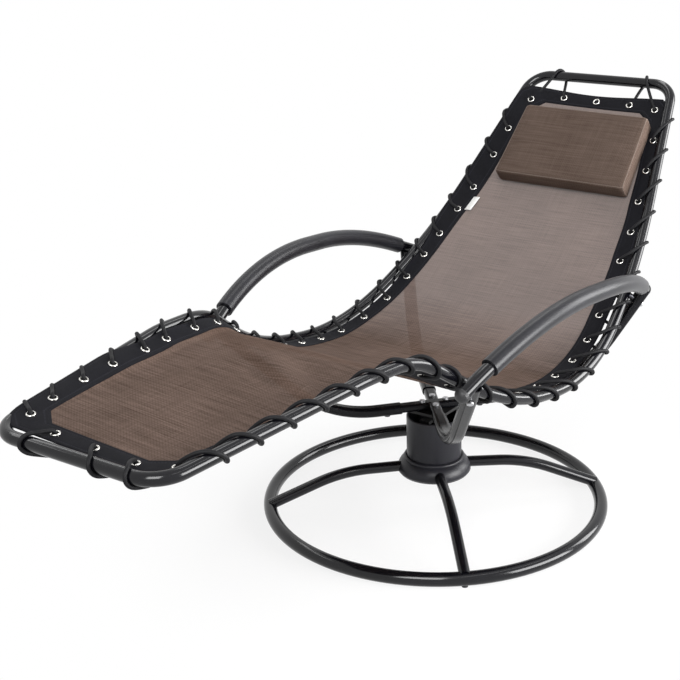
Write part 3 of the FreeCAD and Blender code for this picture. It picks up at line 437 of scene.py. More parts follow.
def mesh_cloth(name, dark, light, gap, sewn):
    """Mesh cloth on the flat sheet's own map, or for a sewn cover on its solid form"""
    material, tree, shader = finish(name)
    if sewn:
        flat = add(tree, "ShaderNodeTexCoord").outputs["Object"]
    else:
        flat = add(tree, "ShaderNodeUVMap", {"uv_map": "cloth"}).outputs["UV"]
    axes = add(tree, "ShaderNodeSeparateXYZ", Vector=flat)
    waves = []
    for axis in ("X", "Y"):
        turn = add(tree, "ShaderNodeMath", {"operation": "MULTIPLY"}, _0=axes.outputs[axis],
                   _1=math.pi / YARN_SPACING)
        waves.append(add(tree, "ShaderNodeMath", {"operation": "SINE"}, _0=turn.outputs[0]).outputs[0])
    over = add(tree, "ShaderNodeMath", {"operation": "MULTIPLY"}, _0=waves[0], _1=waves[1])
    ends = [add(tree, "ShaderNodeMath", {"operation": "ABSOLUTE"}, _0=wave).outputs[0] for wave in waves]
    body = add(tree, "ShaderNodeMath", {"operation": "MAXIMUM"}, _0=ends[0], _1=ends[1])
    slubs = []
    for size in ((SLUB_WIDTH, SLUB_LENGTH, SLUB_WIDTH), (SLUB_LENGTH, SLUB_WIDTH, SLUB_WIDTH)):
        drawn = add(tree, "ShaderNodeVectorMath", {"operation": "MULTIPLY"}, _0=flat, _1=[1 / s for s in size])
        slubs.append(add(tree, "ShaderNodeTexNoise", Vector=drawn.outputs[0], Scale=1.0, Detail=3.0).outputs["Fac"])
    patches = add(tree, "ShaderNodeTexNoise", Vector=flat, Scale=1 / PATCH_SIZE, Detail=4.0)
    drift = add(tree, "ShaderNodeMath", {"operation": "MULTIPLY_ADD"}, _0=patches.outputs["Fac"],
                _1=PATCH_SHARE, _2=PATCH_BASE)
    across = add(tree, "ShaderNodeMath", {"operation": "MULTIPLY_ADD"}, _0=slubs[0],
                 _1=ACROSS_SHARE, _2=drift.outputs[0])
    both = add(tree, "ShaderNodeMath", {"operation": "MULTIPLY_ADD"}, _0=slubs[1],
               _1=ALONG_SHARE, _2=across.outputs[0])
    mixed = add(tree, "ShaderNodeMath", {"operation": "MULTIPLY_ADD"}, _0=over.outputs[0],
                _1=WEAVE_SHARE, _2=both.outputs[0])
    spread = add(tree, "ShaderNodeMapRange", Value=mixed.outputs[0], From_Min=TINT_RANGE[0], From_Max=TINT_RANGE[1])
    tint = add(tree, "ShaderNodeValToRGB", Fac=spread.outputs["Result"])
    tint.color_ramp.elements[0].color = paint(dark)
    tint.color_ramp.elements[1].color = paint(light)
    open_gap = add(tree, "ShaderNodeMapRange", Value=body.outputs[0], From_Min=GAP_RANGE[0], From_Max=GAP_RANGE[1])
    colour = add(tree, "ShaderNodeMix", {"data_type": "RGBA"}, Factor=open_gap.outputs["Result"],
                 _6=paint(gap), _7=tint.outputs["Color"])
    height = add(tree, "ShaderNodeMath", {"operation": "MULTIPLY_ADD"}, _0=over.outputs[0],
                 _1=WEAVE_RISE, _2=both.outputs[0])
    bump = add(tree, "ShaderNodeBump", Strength=WEAVE_RELIEF, Distance=WEAVE_HEIGHT, Height=height.outputs[0])
    tree.links.new(colour.outputs[2], shader.inputs["Base Color"])
    tree.links.new(bump.outputs["Normal"], shader.inputs["Normal"])
    for socket, value in CLOTH_SURFACE.items():
        shader.inputs[socket].default_value = value
    return material, shader


print("yarns drawn", YARN_SPACING, "m apart")

# %% [markdown]
# Where the cloth is stretched harder, up the back, its openings widen and more shows through it. There its colour is
# also
# mixed towards a pale yarn shade: painted light, standing for the white light that comes through the mesh from behind.
# The panel's material gets both, over a short run of its own map. The pillow's cover isn't stretched, so it has
# neither.

# %% Panel and pillow cloth
FOOT_OPACITY = 0.88
BACK_OPACITY = 0.75
BACK_PAINTED_LIGHT = 0.25
STRETCH_FROM = 1.04
STRETCH_TO = 1.25
PAINTED_LIGHT_YARN = "#aea19f"

panel_cloth, shader = mesh_cloth("vinyl_coated_mesh", "#45362d", "#7b675d", "#46372f", sewn=False)
tree = panel_cloth.node_tree
flat = add(tree, "ShaderNodeUVMap", {"uv_map": "cloth"}).outputs["UV"]
axes = add(tree, "ShaderNodeSeparateXYZ", Vector=flat)
opacity = add(tree, "ShaderNodeMapRange", Value=axes.outputs["X"], From_Min=STRETCH_FROM, From_Max=STRETCH_TO,
              To_Min=FOOT_OPACITY, To_Max=BACK_OPACITY)
tree.links.new(opacity.outputs["Result"], shader.inputs["Alpha"])
# Painted light: up the back the yarn's colour is mixed towards a pale shade, for light coming through the mesh from
# behind.
painted_light_share = add(tree, "ShaderNodeMapRange", Value=axes.outputs["X"], From_Min=STRETCH_FROM, From_Max=STRETCH_TO,
           To_Min=0.0, To_Max=BACK_PAINTED_LIGHT)
woven = shader.inputs["Base Color"].links[0].from_socket
colour = add(tree, "ShaderNodeMix", {"data_type": "RGBA"}, Factor=painted_light_share.outputs["Result"], _6=woven,
             _7=paint(PAINTED_LIGHT_YARN))
tree.links.new(colour.outputs[2], shader.inputs["Base Color"])
pillow_cloth = mesh_cloth("pillow_mesh_cover", "#4c3f38", "#64564e", "#493c34", sewn=True)[0]
print("made", panel_cloth.name, "and", pillow_cloth.name)

# %% [markdown]
# The panel is one sheet from hem to hem. A plane could be bent over the rails with modifiers, but rows of points from
# the sling's own function land exactly where hem and eyelets will be, and give the cloth a map in real metres. Its
# edge is tucked under the hem.

# %% Sling panel
PANEL_FOOT = 0.050
PANEL_HEAD = RAIL_LENGTH - 0.076
PANEL_ROWS = 190
PANEL_COLUMNS = 48
PANEL_TUCK = 0.86
PANEL_THICKNESS = 0.0010


def sheet_mesh(name, rows, material, ring=False):
    """A mesh from rows of (along, across, point), mapped in the cloth's own metres; a ring's last row closes it"""
    mesh = bpy.data.meshes.new(name)
    count = len(rows[0])
    kept = rows[:-1] if ring else rows
    patches = [((r, c), (r, c + 1), (r + 1, c + 1), (r + 1, c))
               for r in range(len(rows) - 1) for c in range(count - 1)]
    faces = [[r % len(kept) * count + c for r, c in patch] for patch in patches]
    mesh.from_pydata([point for row in kept for _, _, point in row], [], faces)
    uv = mesh.uv_layers.new(name="cloth")
    for corner, (r, c) in zip(uv.data, [place for patch in patches for place in patch]):
        corner.uv = rows[r][c][:2]
    mesh.materials.append(material)
    mesh.polygons.foreach_set("use_smooth", [True] * len(mesh.polygons))
    return new_piece(name, mesh)


def thicken(piece, thickness, offset=-1.0):
    """Give a sheet its thickness, below its surface or, at offset 0, to both sides"""
    thick = piece.modifiers.new("thickness", "SOLIDIFY")
    thick.thickness = thickness
    thick.offset = offset


rows = []
for r in range(PANEL_ROWS + 1):
    distance = PANEL_FOOT + (PANEL_HEAD - PANEL_FOOT) * r / PANEL_ROWS
    left = edge(distance, 1, PANEL_TUCK)
    right = edge(distance, -1, PANEL_TUCK)
    row = []
    for c in range(PANEL_COLUMNS + 1):
        across = left + (right - left) * c / PANEL_COLUMNS
        row.append((distance, across, on_sling(distance, across)))
    rows.append(row)
panel = sheet_mesh("sling_mesh_panel", rows, panel_cloth)
thicken(panel, PANEL_THICKNESS)
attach(panel, "seat")
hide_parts("sling_panel")
print("panel rows", len(rows), "by", len(rows[0]))

# %% [markdown]
# The hem is a folded strip of woven polyester twill, black and matt, with two rows of stitches in slightly paler
# thread. Its map runs along the strip, so the twill and the stitches turn the corners with it. The real twill is finer
# than a pixel and is drawn at 2.4 mm, so that it still breaks up the light.

# %% Woven hem cloth
TWILL = 0.0024
STITCH = 0.0046
STITCH_WIDTH = 0.0009
STITCH_GAP = -0.3
STITCH_RISE = 2.0
THREAD = "#222228"
SEAMS = (0.16, 0.84)
HEM_WIDTH = HEM_INNER - HEM_OUTER
HEM_CLOUD = 1 / 30
HEM_DRIFT = (0.25, 0.75)
HEM_SHADES = ("#0c0c10", "#131318")
RIB_SHARE = 0.15
HEM_RELIEF = 0.4
HEM_HEIGHT = 0.0003
HEM_SURFACE = {"Roughness": 0.75, "Specular IOR Level": 0.12}

hem_cloth, tree, shader = finish("woven_polyester_hem")
flat = add(tree, "ShaderNodeUVMap", {"uv_map": "cloth"}).outputs["UV"]
axes = add(tree, "ShaderNodeSeparateXYZ", Vector=flat)
slant = add(tree, "ShaderNodeMath", {"operation": "ADD"}, _0=axes.outputs["X"], _1=axes.outputs["Y"])
turn = add(tree, "ShaderNodeMath", {"operation": "MULTIPLY"}, _0=slant.outputs[0], _1=2 * math.pi / TWILL)
rib = add(tree, "ShaderNodeMath", {"operation": "SINE"}, _0=turn.outputs[0])
patches = add(tree, "ShaderNodeTexNoise", Vector=flat, Scale=1 / HEM_CLOUD, Detail=4.0)
mixed = add(tree, "ShaderNodeMath", {"operation": "MULTIPLY_ADD"}, _0=rib.outputs[0], _1=RIB_SHARE,
            _2=patches.outputs["Fac"])
tint = add(tree, "ShaderNodeValToRGB", Fac=mixed.outputs[0])
for stop, position, shade in zip(tint.color_ramp.elements, HEM_DRIFT, HEM_SHADES):
    stop.position = position
    stop.color = paint(shade)
beat = add(tree, "ShaderNodeMath", {"operation": "MULTIPLY"}, _0=axes.outputs["X"], _1=2 * math.pi / STITCH)
wave = add(tree, "ShaderNodeMath", {"operation": "SINE"}, _0=beat.outputs[0])
dash = add(tree, "ShaderNodeMath", {"operation": "GREATER_THAN"}, _0=wave.outputs[0], _1=STITCH_GAP)
lines = []
for seam in SEAMS:
    off = add(tree, "ShaderNodeMath", {"operation": "SUBTRACT"}, _0=axes.outputs["Y"], _1=seam * HEM_WIDTH)
    gap = add(tree, "ShaderNodeMath", {"operation": "ABSOLUTE"}, _0=off.outputs[0])
    near = add(tree, "ShaderNodeMath", {"operation": "LESS_THAN"}, _0=gap.outputs[0], _1=STITCH_WIDTH)
    lines.append(near.outputs[0])
line = add(tree, "ShaderNodeMath", {"operation": "MAXIMUM"}, _0=lines[0], _1=lines[1])
thread = add(tree, "ShaderNodeMath", {"operation": "MULTIPLY"}, _0=line.outputs[0], _1=dash.outputs[0])
colour = add(tree, "ShaderNodeMix", {"data_type": "RGBA"}, Factor=thread.outputs[0], _6=tint.outputs["Color"],
             _7=paint(THREAD))
height = add(tree, "ShaderNodeMath", {"operation": "MULTIPLY_ADD"}, _0=thread.outputs[0], _1=STITCH_RISE,
             _2=rib.outputs[0])
bump = add(tree, "ShaderNodeBump", Strength=HEM_RELIEF, Distance=HEM_HEIGHT, Height=height.outputs[0])
tree.links.new(colour.outputs[2], shader.inputs["Base Color"])
tree.links.new(bump.outputs["Normal"], shader.inputs["Normal"])
for socket, value in HEM_SURFACE.items():
    shader.inputs[socket].default_value = value
print("made", hem_cloth.name)

# %% [markdown]
# The hem is sewn all round the panel, a little thicker than the mesh, and its inner edge cuts the panel's corners off.
# It is drawn as a ring of strips between an outer and an inner outline, with two dips where the sewing pulls it down. A
# ring that closes on itself has no loose end to hide.

# %% Hem
FOOT_EDGE = 0.017
HEAD_EDGE = RAIL_LENGTH - 0.040
FOOT_HEM_END = 0.057
HEAD_HEM_END = RAIL_LENGTH - 0.082
FOOT_CORNER = 0.020
HEAD_CORNER = 0.012
INNER_CORNER = 0.026
HEAD_SLACK = 0.007
HEM_STEPS_SIDE = 160
HEM_STEPS_END = 36
HEM_STEPS_CORNER = 8
HEM_THICKNESS = 0.0022
HEM_PROFILE = ((0.0, 0.0002), (0.04, 0.0012), (0.10, 0.0014), (0.16, 0.0009), (0.22, 0.0014), (0.5, 0.0015),
               (0.78, 0.0014), (0.84, 0.0009), (0.90, 0.0014), (0.96, 0.0012), (1.0, 0.0001))


def hem_outline(foot, head, share, foot_corner, head_corner, slack):
    """Places (distance along, distance across) round one edge of the hem, left side first, foot to head"""
    first = foot + foot_corner
    last = head - head_corner
    stations = [first + (last - first) * k / HEM_STEPS_SIDE for k in range(HEM_STEPS_SIDE + 1)]
    left = [(d, edge(d, 1, share)) for d in stations]
    right = [(d, edge(d, -1, share)) for d in reversed(stations)]
    ends = [(head, edge(head, 1, share) - head_corner), (head, edge(head, -1, share) + head_corner),
            (foot, edge(foot, -1, share) + foot_corner), (foot, edge(foot, 1, share) - foot_corner)]
    outline = list(left)

    def run(start, end, steps, pull=0.0):
        """Places on a straight line, pulled towards the foot in its middle"""
        for k in range(1, steps + 1):
            part = k / steps
            outline.append((start[0] + (end[0] - start[0]) * part - pull * math.sin(math.pi * part) ** 2,
                            start[1] + (end[1] - start[1]) * part))

    run(left[-1], ends[0], HEM_STEPS_CORNER)
    run(ends[0], ends[1], HEM_STEPS_END, slack)
    run(ends[1], right[0], HEM_STEPS_CORNER)
    outline += right[1:]
    run(right[-1], ends[2], HEM_STEPS_CORNER)
    run(ends[2], ends[3], HEM_STEPS_END)
    run(ends[3], left[0], HEM_STEPS_CORNER)
    return outline


outer = hem_outline(FOOT_EDGE, HEAD_EDGE, 0.0, FOOT_CORNER, HEAD_CORNER, HEAD_SLACK)
inner = hem_outline(FOOT_HEM_END, HEAD_HEM_END, 1.0, INNER_CORNER, INNER_CORNER, 0.0)
rows = []
travel = 0.0
before = None
for (d0, a0), (d1, a1) in zip(outer, inner):
    strip = [on_sling(d0 + (d1 - d0) * share, a0 + (a1 - a0) * share, lift) for share, lift in HEM_PROFILE]
    middle = strip[len(strip) // 2]
    travel += (middle - before).length if before else 0.0
    before = middle
    rows.append([(travel, share * HEM_WIDTH, point) for (share, _), point in zip(HEM_PROFILE, strip)])
hem = sheet_mesh("sling_hem", rows, hem_cloth, ring=True)
thicken(hem, HEM_THICKNESS)
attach(hem, "seat")
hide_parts("sling_border")
print("hem steps", len(rows), "hem length", round(travel, 3), "m")

# %% [markdown]
# A small bare label is sewn into the left hem, behind the shoulders: a folded strip of white satin ribbon. A flat patch
# would do from afar, but a strip that stands up a little where the seam holds it catches the light as ribbon does.

# %% Bare label
LABEL_PLACE = (1.501, 1.540)
LABEL_WIDTH = 0.017
LABEL_STEPS = 8
LABEL_SEAM = 0.94
LABEL_BASE = 0.0022
LABEL_LIFT = 0.0035
LABEL_CURL = 0.55 * math.pi
LABEL_THICKNESS = 0.0008

label_ribbon = grained("satin_ribbon", "#dddcda", "#efeeec", grain=0.0011, roughness=0.45)
rows = []
for r in range(LABEL_STEPS + 1):
    distance = LABEL_PLACE[0] + (LABEL_PLACE[1] - LABEL_PLACE[0]) * r / LABEL_STEPS
    row = []
    for c in range(LABEL_STEPS + 1):
        share = c / LABEL_STEPS
        across = edge(distance, 1, LABEL_SEAM) - LABEL_WIDTH * share
        lift = LABEL_BASE + LABEL_LIFT * math.sin(LABEL_CURL * share)
        row.append((distance, across, on_sling(distance, across, lift)))
    rows.append(row)
label = sheet_mesh("bare_label", rows, label_ribbon)
thicken(label, LABEL_THICKNESS, offset=0.0)
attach(label, "seat")
print("label", round(LABEL_PLACE[1] - LABEL_PLACE[0], 3), "by", LABEL_WIDTH, "m")

# %% [markdown]
# Nickel-plated eyelets are pressed through the hem, closer together at the foot than at the back. They are set by hand,
# so the left row is uneven and has one eyelet less than the right. Each is one turned profile: a rolled rim with a
# barrel that goes down through the cloth. Copies of one eyelet would do too, but one mesh of rings keeps each of them
# square to the cloth it sits in.

# %% Eyelets
LEFT_EYELETS = (0.056, 0.112, 0.188, 0.260, 0.344, 0.404, 0.484, 0.556, 0.640, 0.740, 0.836, 0.904, 0.972, 1.046,
                1.128, 1.212, 1.288, 1.360, 1.426, 1.500, 1.566, 1.660, 1.736, 1.824)
RIGHT_FIRST = 0.063
RIGHT_PITCH = 0.0665
RIGHT_GROWTH = 0.0003
RIGHT_COUNT = 25
RIGHT_EYELETS = [RIGHT_FIRST + RIGHT_PITCH * k + RIGHT_GROWTH * k * k for k in range(RIGHT_COUNT)]
LEFT_INSET = ((0.0, 0.034), (0.11, 0.026), (0.19, 0.026), (0.34, 0.032), (0.56, 0.033), (0.95, 0.042), (1.21, 0.039),
              (1.43, 0.032), (1.56, 0.036), (1.66, 0.034), (1.74, 0.029), (1.83, 0.038))
RIGHT_INSET = ((0.0, 0.030), (0.80, 0.036), (1.05, 0.040), (1.21, 0.036), (1.44, 0.032), (1.52, 0.026),
               (1.76, 0.020), (1.84, 0.031))
END_EYELETS = (0.070, -0.010, -0.090)
FOOT_EYELET = 0.036
HEAD_EYELET = RAIL_LENGTH - 0.064
EYELET_LIFT = 0.0014
SLOPE_STEP = 0.004
EYELET_TURNS = 28
EYELET_PROFILE = ((0.0050, -0.0030), (0.0050, 0.0008), (0.0054, 0.0016), (0.0062, 0.0021), (0.0072, 0.0019),
                  (0.0080, 0.0011), (0.0084, 0.0001), (0.0080, -0.0003), (0.0058, -0.0003), (0.0056, -0.0030))


def eyelet_across(distance, side):
    """Distance across the chair of an eyelet in the left (1) or right (-1) row"""
    return side * (half_width(distance) - eased(LEFT_INSET if side > 0 else RIGHT_INSET, distance))


eyelet_places = [(d, eyelet_across(d, 1)) for d in LEFT_EYELETS] + [(d, eyelet_across(d, -1)) for d in RIGHT_EYELETS]
eyelet_places += [(d, a) for d in (FOOT_EYELET, HEAD_EYELET) for a in END_EYELETS]
build = bmesh.new()
for distance, across in eyelet_places:
    middle = on_sling(distance, across, EYELET_LIFT)
    along = (on_sling(distance + SLOPE_STEP, across) - on_sling(distance - SLOPE_STEP, across)).normalized()
    sideways = (on_sling(distance, across + SLOPE_STEP) - on_sling(distance, across - SLOPE_STEP)).normalized()
    up = along.cross(sideways).normalized()
    rings = []
    for radius, lift in EYELET_PROFILE:
        ring = []
        for k in range(EYELET_TURNS):
            angle = 2 * math.pi * k / EYELET_TURNS
            offset = along * (radius * math.cos(angle)) + sideways * (radius * math.sin(angle)) + up * lift
            ring.append(build.verts.new(middle + offset))
        rings.append(ring)
    for low, high in zip(rings, rings[1:] + rings[:1]):
        for k in range(EYELET_TURNS):
            build.faces.new((low[k - 1], high[k - 1], high[k], low[k]))
mesh = bpy.data.meshes.new("eyelets")
bmesh.ops.recalc_face_normals(build, faces=build.faces)
build.to_mesh(mesh)
build.free()
mesh.materials.append(nickel)
mesh.polygons.foreach_set("use_smooth", [True] * len(mesh.polygons))
eyelets = new_piece("eyelets", mesh)
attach(eyelets, "seat")
print("eyelets", len(eyelet_places))

# %% [markdown]
# The lacing is elastic cord with a braided cover, black and dull. On each side one cord goes up through an eyelet, over
# the tube, down outside it and back underneath to the next eyelet. A NURBS curve with a round bevel is the natural
# tool: its control points stand a little outside the tube, because such a curve cuts inside its corners.

# %% Braided cord
CORD_RADIUS = 0.0034
CORD_ROUNDING = 3
CORD_SMOOTHNESS = 6
cord_cover = grained("braided_cord", "#09090b", "#131316", grain=0.0022, roughness=0.6, depth=0.0006, specular=0.2)


def lace(name, guides, slot_node):
    """A cord along its guide points, one list of them for each loop"""
    curve = bpy.data.curves.new(name, "CURVE")
    curve.dimensions = "3D"
    curve.bevel_depth = CORD_RADIUS
    curve.bevel_resolution = CORD_ROUNDING
    curve.resolution_u = CORD_SMOOTHNESS
    curve.use_fill_caps = True
    for points in guides:
        spline = curve.splines.new("NURBS")
        spline.points.add(len(points) - 1)
        for place, point in zip(spline.points, points):
            place.co = (*point, 1.0)
        spline.order_u = 4
        spline.use_endpoint_u = True
    curve.materials.append(cord_cover)
    piece = new_piece(name, curve)
    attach(piece, "seat")
    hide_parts(slot_node)


print("cord", 2 * CORD_RADIUS, "m thick in", cord_cover.name)

# %% [markdown]
# A lean is how far along the tube the cord has come at the top, the outside and the underside of its turn, as a share
# of the way to the next eyelet. Each turn of cord is set out from its lean: up through the eyelet, then round the tube
# in steps, a little wider where the cord leaves the tube on its way to the hem.

# %% Turns of cord
CORD_PASS = (-0.006, 0.001, 0.007)
WRAP = 0.0156
FREE_WRAP = WRAP * 1.12
RISE_LEAN = 0.55


def wraps(places, frame_at, eyelet_at, leans, last):
    """Guide points of a cord that laces the eyelets at these places to a tube"""
    points = []
    for k, place in enumerate(places):
        over, outer, under = leans[k]
        step = places[k + 1] - place if k + 1 < len(places) else last
        eyelet, up = eyelet_at(place)
        points += [eyelet + up * rise for rise in CORD_PASS]
        if not step:
            break
        turns = ((50, over * RISE_LEAN, FREE_WRAP), (90, over, WRAP), (135, (over + outer) / 2, WRAP),
                 (180, outer, WRAP), (225, (outer + under) / 2, WRAP), (270, under, WRAP),
                 (310, (under + 1) / 2, FREE_WRAP))
        for degrees, share, reach in turns:
            point, inward, out = frame_at(place + step * share)
            angle = math.radians(degrees)
            points.append(point + (inward * math.cos(angle) + out * math.sin(angle)) * reach)
    return points


def side_guides(places, side, leans):
    """Guide points along the left (1) or right (-1) rail"""
    def eyelet_at(distance):
        return on_sling(distance, eyelet_across(distance, side), EYELET_LIFT), rail_frame(distance, side)[2]

    return wraps(places, lambda d: rail_frame(d, side), eyelet_at, leans, 0.0)


def foot_guides(places, leans, last):
    """Guide points along the foot bar"""
    corner, course = rail_at(0.0)
    inward = Vector((course.x, 0.0, course.z)).normalized()
    up = Vector((-course.z, 0.0, course.x)).normalized()

    def bar_frame(across):
        return Vector((corner.x, across, corner.z)), inward, up

    return wraps(places, bar_frame, lambda across: (on_sling(FOOT_EYELET, across, EYELET_LIFT), up), leans, last)


print("the cord's guide points stand", WRAP, "m from the tube's middle")

# %% [markdown]
# At the head bar the cord makes one loop at each end: from one eyelet up over the bar, and down behind the hem to
# another. Along the rails, the turns beside the legs lean differently from the rest, so that the cord clears the legs.

# %% Lacing
RIGHT_LEAN = (0.36, 0.75, 0.90)
LEFT_LEAN = (0.34, 0.66, 0.86)
RIGHT_LEG_LEANS = {8: (0.26, 0.54, 0.70), 17: (0.33, 0.69, 0.83)}
LEFT_LEG_LEANS = {8: (0.30, 0.90, 0.96), 16: (0.28, 0.56, 0.72)}
FOOT_LEANS = [(-0.25, -0.32, -0.10), (0.40, 0.48, 0.60), (0.40, 0.48, 0.60)]
FOOT_LAST = -0.060
HEAD_TURNS = (300, 270, 225, 180, 135, 90, 45)
LOOP_PASS = 0.008
LEFT_LOOP = (0.022, 0.024)
RIGHT_LOOP = (-0.004, -0.022)


def head_loop(first, last, front, shift, spread):
    """Guide points of a loop between two (distance, across) eyelets, the front one's strand before the hem"""
    corner, course = rail_at(RAIL_LENGTH)
    inward = Vector((-course.x, 0.0, -course.z)).normalized()
    up = Vector((-course.z, 0.0, course.x)).normalized()
    start = on_sling(*first, EYELET_LIFT)
    end = on_sling(*last, EYELET_LIFT)
    through = up * (-LOOP_PASS if front else LOOP_PASS)
    points = [start + through, start, start - through]
    for k, degrees in enumerate(HEAD_TURNS):
        angle = math.radians(degrees)
        place = Vector((corner.x, first[1] + shift + spread * k / (len(HEAD_TURNS) - 1), corner.z))
        points.append(place + (inward * math.cos(angle) + up * math.sin(angle)) * WRAP)
    return points + [end + through, end, end - through]


right_leans = [RIGHT_LEG_LEANS.get(k, RIGHT_LEAN) for k in range(len(RIGHT_EYELETS))]
left_leans = [LEFT_LEG_LEANS.get(k, LEFT_LEAN) for k in range(len(LEFT_EYELETS))]
left_corner = (LEFT_EYELETS[-1], eyelet_across(LEFT_EYELETS[-1], 1))
right_corner = (RIGHT_EYELETS[-1], eyelet_across(RIGHT_EYELETS[-1], -1))
loops = [head_loop((HEAD_EYELET, END_EYELETS[0]), left_corner, True, *LEFT_LOOP),
         head_loop((HEAD_EYELET, END_EYELETS[2]), right_corner, False, *RIGHT_LOOP)]
lace("lacing_cord_left", [side_guides(LEFT_EYELETS, 1, left_leans)], "lacing_left")
lace("lacing_cord_right", [side_guides(RIGHT_EYELETS, -1, right_leans)], "lacing_right")
lace("lacing_cord_foot", [foot_guides(END_EYELETS, FOOT_LEANS, FOOT_LAST)], "lacing_foot")
lace("lacing_cord_head", loops, "lacing_head")
print("laced both sides and both ends")

# %% [markdown]
# The head pillow is a boxed cushion in the same cloth: a top, a bottom and a narrow wall between them, filled with
# foam. It starts as a block with small roundings, which lies square on the cloth between the rails.

# %% Pillow block
PILLOW_CENTRE = 1.689
PILLOW_ACROSS = -0.018
PILLOW_START = (0.186, 0.302, 0.042)
PILLOW_CLEARANCE = 0.002
PILLOW_ROUNDING = 0.004

along = rail_at(PILLOW_CENTRE)[1]
along = Vector((along.x, 0.0, along.z)).normalized()
left_end = on_sling(PILLOW_CENTRE, PILLOW_ACROSS + PILLOW_START[1] / 2)
right_end = on_sling(PILLOW_CENTRE, PILLOW_ACROSS - PILLOW_START[1] / 2)
sideways = (left_end - right_end).normalized()
pillow_up = along.cross(sideways)
pillow_middle = (left_end + right_end) / 2 + pillow_up * (PILLOW_START[2] / 2 + PILLOW_CLEARANCE)
build = bmesh.new()
bmesh.ops.create_cube(build, size=1.0)
bmesh.ops.scale(build, vec=PILLOW_START, verts=build.verts)
bmesh.ops.bevel(build, geom=build.edges[:], offset=PILLOW_ROUNDING, segments=3, affect="EDGES")
mesh = bpy.data.meshes.new("head_pillow_cover")
build.to_mesh(mesh)
build.free()
mesh.materials.append(pillow_cloth)
pillow = new_piece("head_pillow_cover", mesh)
print("pillow block", PILLOW_START)

# %% [markdown]
# Blender's cloth swells the block from inside: the sewn corners hold, the sewn edges give a little, and the faces
# between them crown. Sculpting could do this too, but pressure finds the tension of a real cover by itself. A cap on
# the movement stands for the foam, which holds the boxed form, and the end at the neck is drawn out wider.

# %% Swollen cover
PILLOW_VOXEL = 0.004
PILLOW_PRESSURE = 3.0
PILLOW_CAP = 0.006
PILLOW_FRAMES = 20
PILLOW_TAPER = 0.30
SEAM_HOLD = 0.006
CORNER_HOLD = 0.022
SEAM_GIVE = 0.55
TINY = 1e-9


def swell(piece):
    """Blow up the closed cover with cloth, keep the result within a cap, and leave no simulation behind"""
    even = piece.modifiers.new("even_faces", "REMESH")
    even.mode = "VOXEL"
    even.voxel_size = PILLOW_VOXEL
    bpy.context.view_layer.objects.active = piece
    bpy.ops.object.modifier_apply(modifier=even.name)
    shape = np.array([v.co[:] for v in piece.data.vertices])
    walls = np.sort(np.array(PILLOW_START) / 2 - np.abs(shape), axis=1)
    held = piece.vertex_groups.new(name="seams")
    for i in np.flatnonzero(walls[:, 1] < SEAM_HOLD):
        held.add([int(i)], 1.0 if walls[i, 2] < CORNER_HOLD else SEAM_GIVE, "REPLACE")
    filled = piece.modifiers.new("filled", "CLOTH")
    filled.settings.vertex_group_mass = held.name
    filled.settings.use_pressure = True
    filled.settings.uniform_pressure_force = PILLOW_PRESSURE
    filled.settings.effector_weights.gravity = 0.0
    for step in range(1, PILLOW_FRAMES + 1):
        bpy.context.scene.frame_set(step)
    blown = piece.evaluated_get(bpy.context.evaluated_depsgraph_get()).data
    move = np.array([v.co[:] for v in blown.vertices]) - shape
    length = np.linalg.norm(move, axis=1)
    move *= np.minimum(1.0, PILLOW_CAP / np.maximum(length, TINY))[:, None]
    piece.modifiers.remove(filled)
    bpy.context.scene.frame_set(1)
    shape = shape + move
    shape[:, 2] = np.maximum(shape[:, 2], -PILLOW_START[2] / 2)
    shape[:, 1] *= 1 - PILLOW_TAPER * shape[:, 0]
    piece.data.vertices.foreach_set("co", shape.ravel())
    piece.data.update()
    piece.data.polygons.foreach_set("use_smooth", [True] * len(piece.data.polygons))
    return shape


cover = swell(pillow)
print("pillow", [round(float(s), 4) for s in cover.max(0) - cover.min(0)])

# %% [markdown]
# Where the cover's pieces are sewn together, a thin folded seam stands out along the twelve edges. Each edge of the
# block gives a line of points, and each point moves to the nearest place on the finished cover, so the seam follows it.

# %% Pillow seams
SEAM_RADIUS = 0.0011
SEAM_ROUNDING = 2
SEAM_STEPS = 40

seams = bpy.data.curves.new("head_pillow_seams", "CURVE")
seams.dimensions = "3D"
seams.bevel_depth = SEAM_RADIUS
seams.bevel_resolution = SEAM_ROUNDING
seams.use_fill_caps = True
signs = (-1, 1)
corners = [Vector((x, y, z)) for x in signs for y in signs for z in signs]
for first in corners:
    for last in corners:
        change = last - first
        # Only the twelve edges, each of them once
        if change.length != 2 or min(change) < 0:
            continue
        spline = seams.splines.new("POLY")
        spline.points.add(SEAM_STEPS)
        for k, place in enumerate(spline.points):
            ideal = [c * s / 2 for c, s in zip(first + change * (k / SEAM_STEPS), PILLOW_START)]
            ideal[1] *= 1 - PILLOW_TAPER * ideal[0]
            place.co = (*pillow.closest_point_on_mesh(ideal)[1], 1.0)
seams.materials.append(grained("folded_seam", "#55473f", "#6b5b51", grain=0.0015, roughness=0.55))
seam_piece = new_piece("head_pillow_seams", seams)
print("pillow seams", len(seams.splines))

# %% [markdown]
# One more level of smoothing takes the last facets off the cover. Cover and seams then go to their place together.

# %% Lay the pillow on the sling
smooth = pillow.modifiers.new("smooth", "SUBSURF")
smooth.levels = 1
smooth.render_levels = 1
pillow.matrix_world = placed(along, sideways, pillow_up, pillow_middle)
seam_piece.matrix_world = pillow.matrix_world.copy()
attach(seam_piece, "seat")
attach(pillow, "seat")
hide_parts("head_pillow")
print("pillow laid at", [round(c, 3) for c in pillow_middle])

# %% [markdown]
# Whoever makes this chair cuts the sling from flat cloth. The cut, with the panel's width at the seat, its length along
# the rails and the area that is left when it narrows to both ends, is not worked out in this script.

# %% The sling's flat cut
print("the sling is cut from flat cloth")

# %% [markdown]
# The stage is a plain pale floor that runs into a white surround, with only a light shadow under the chair. The
# surround is white only where the camera, a mirror or glass looks at it, and gives the object just a little light.

# %% White surround
SKY_LEVEL = 0.12
WHITE = paint("#ffffff")


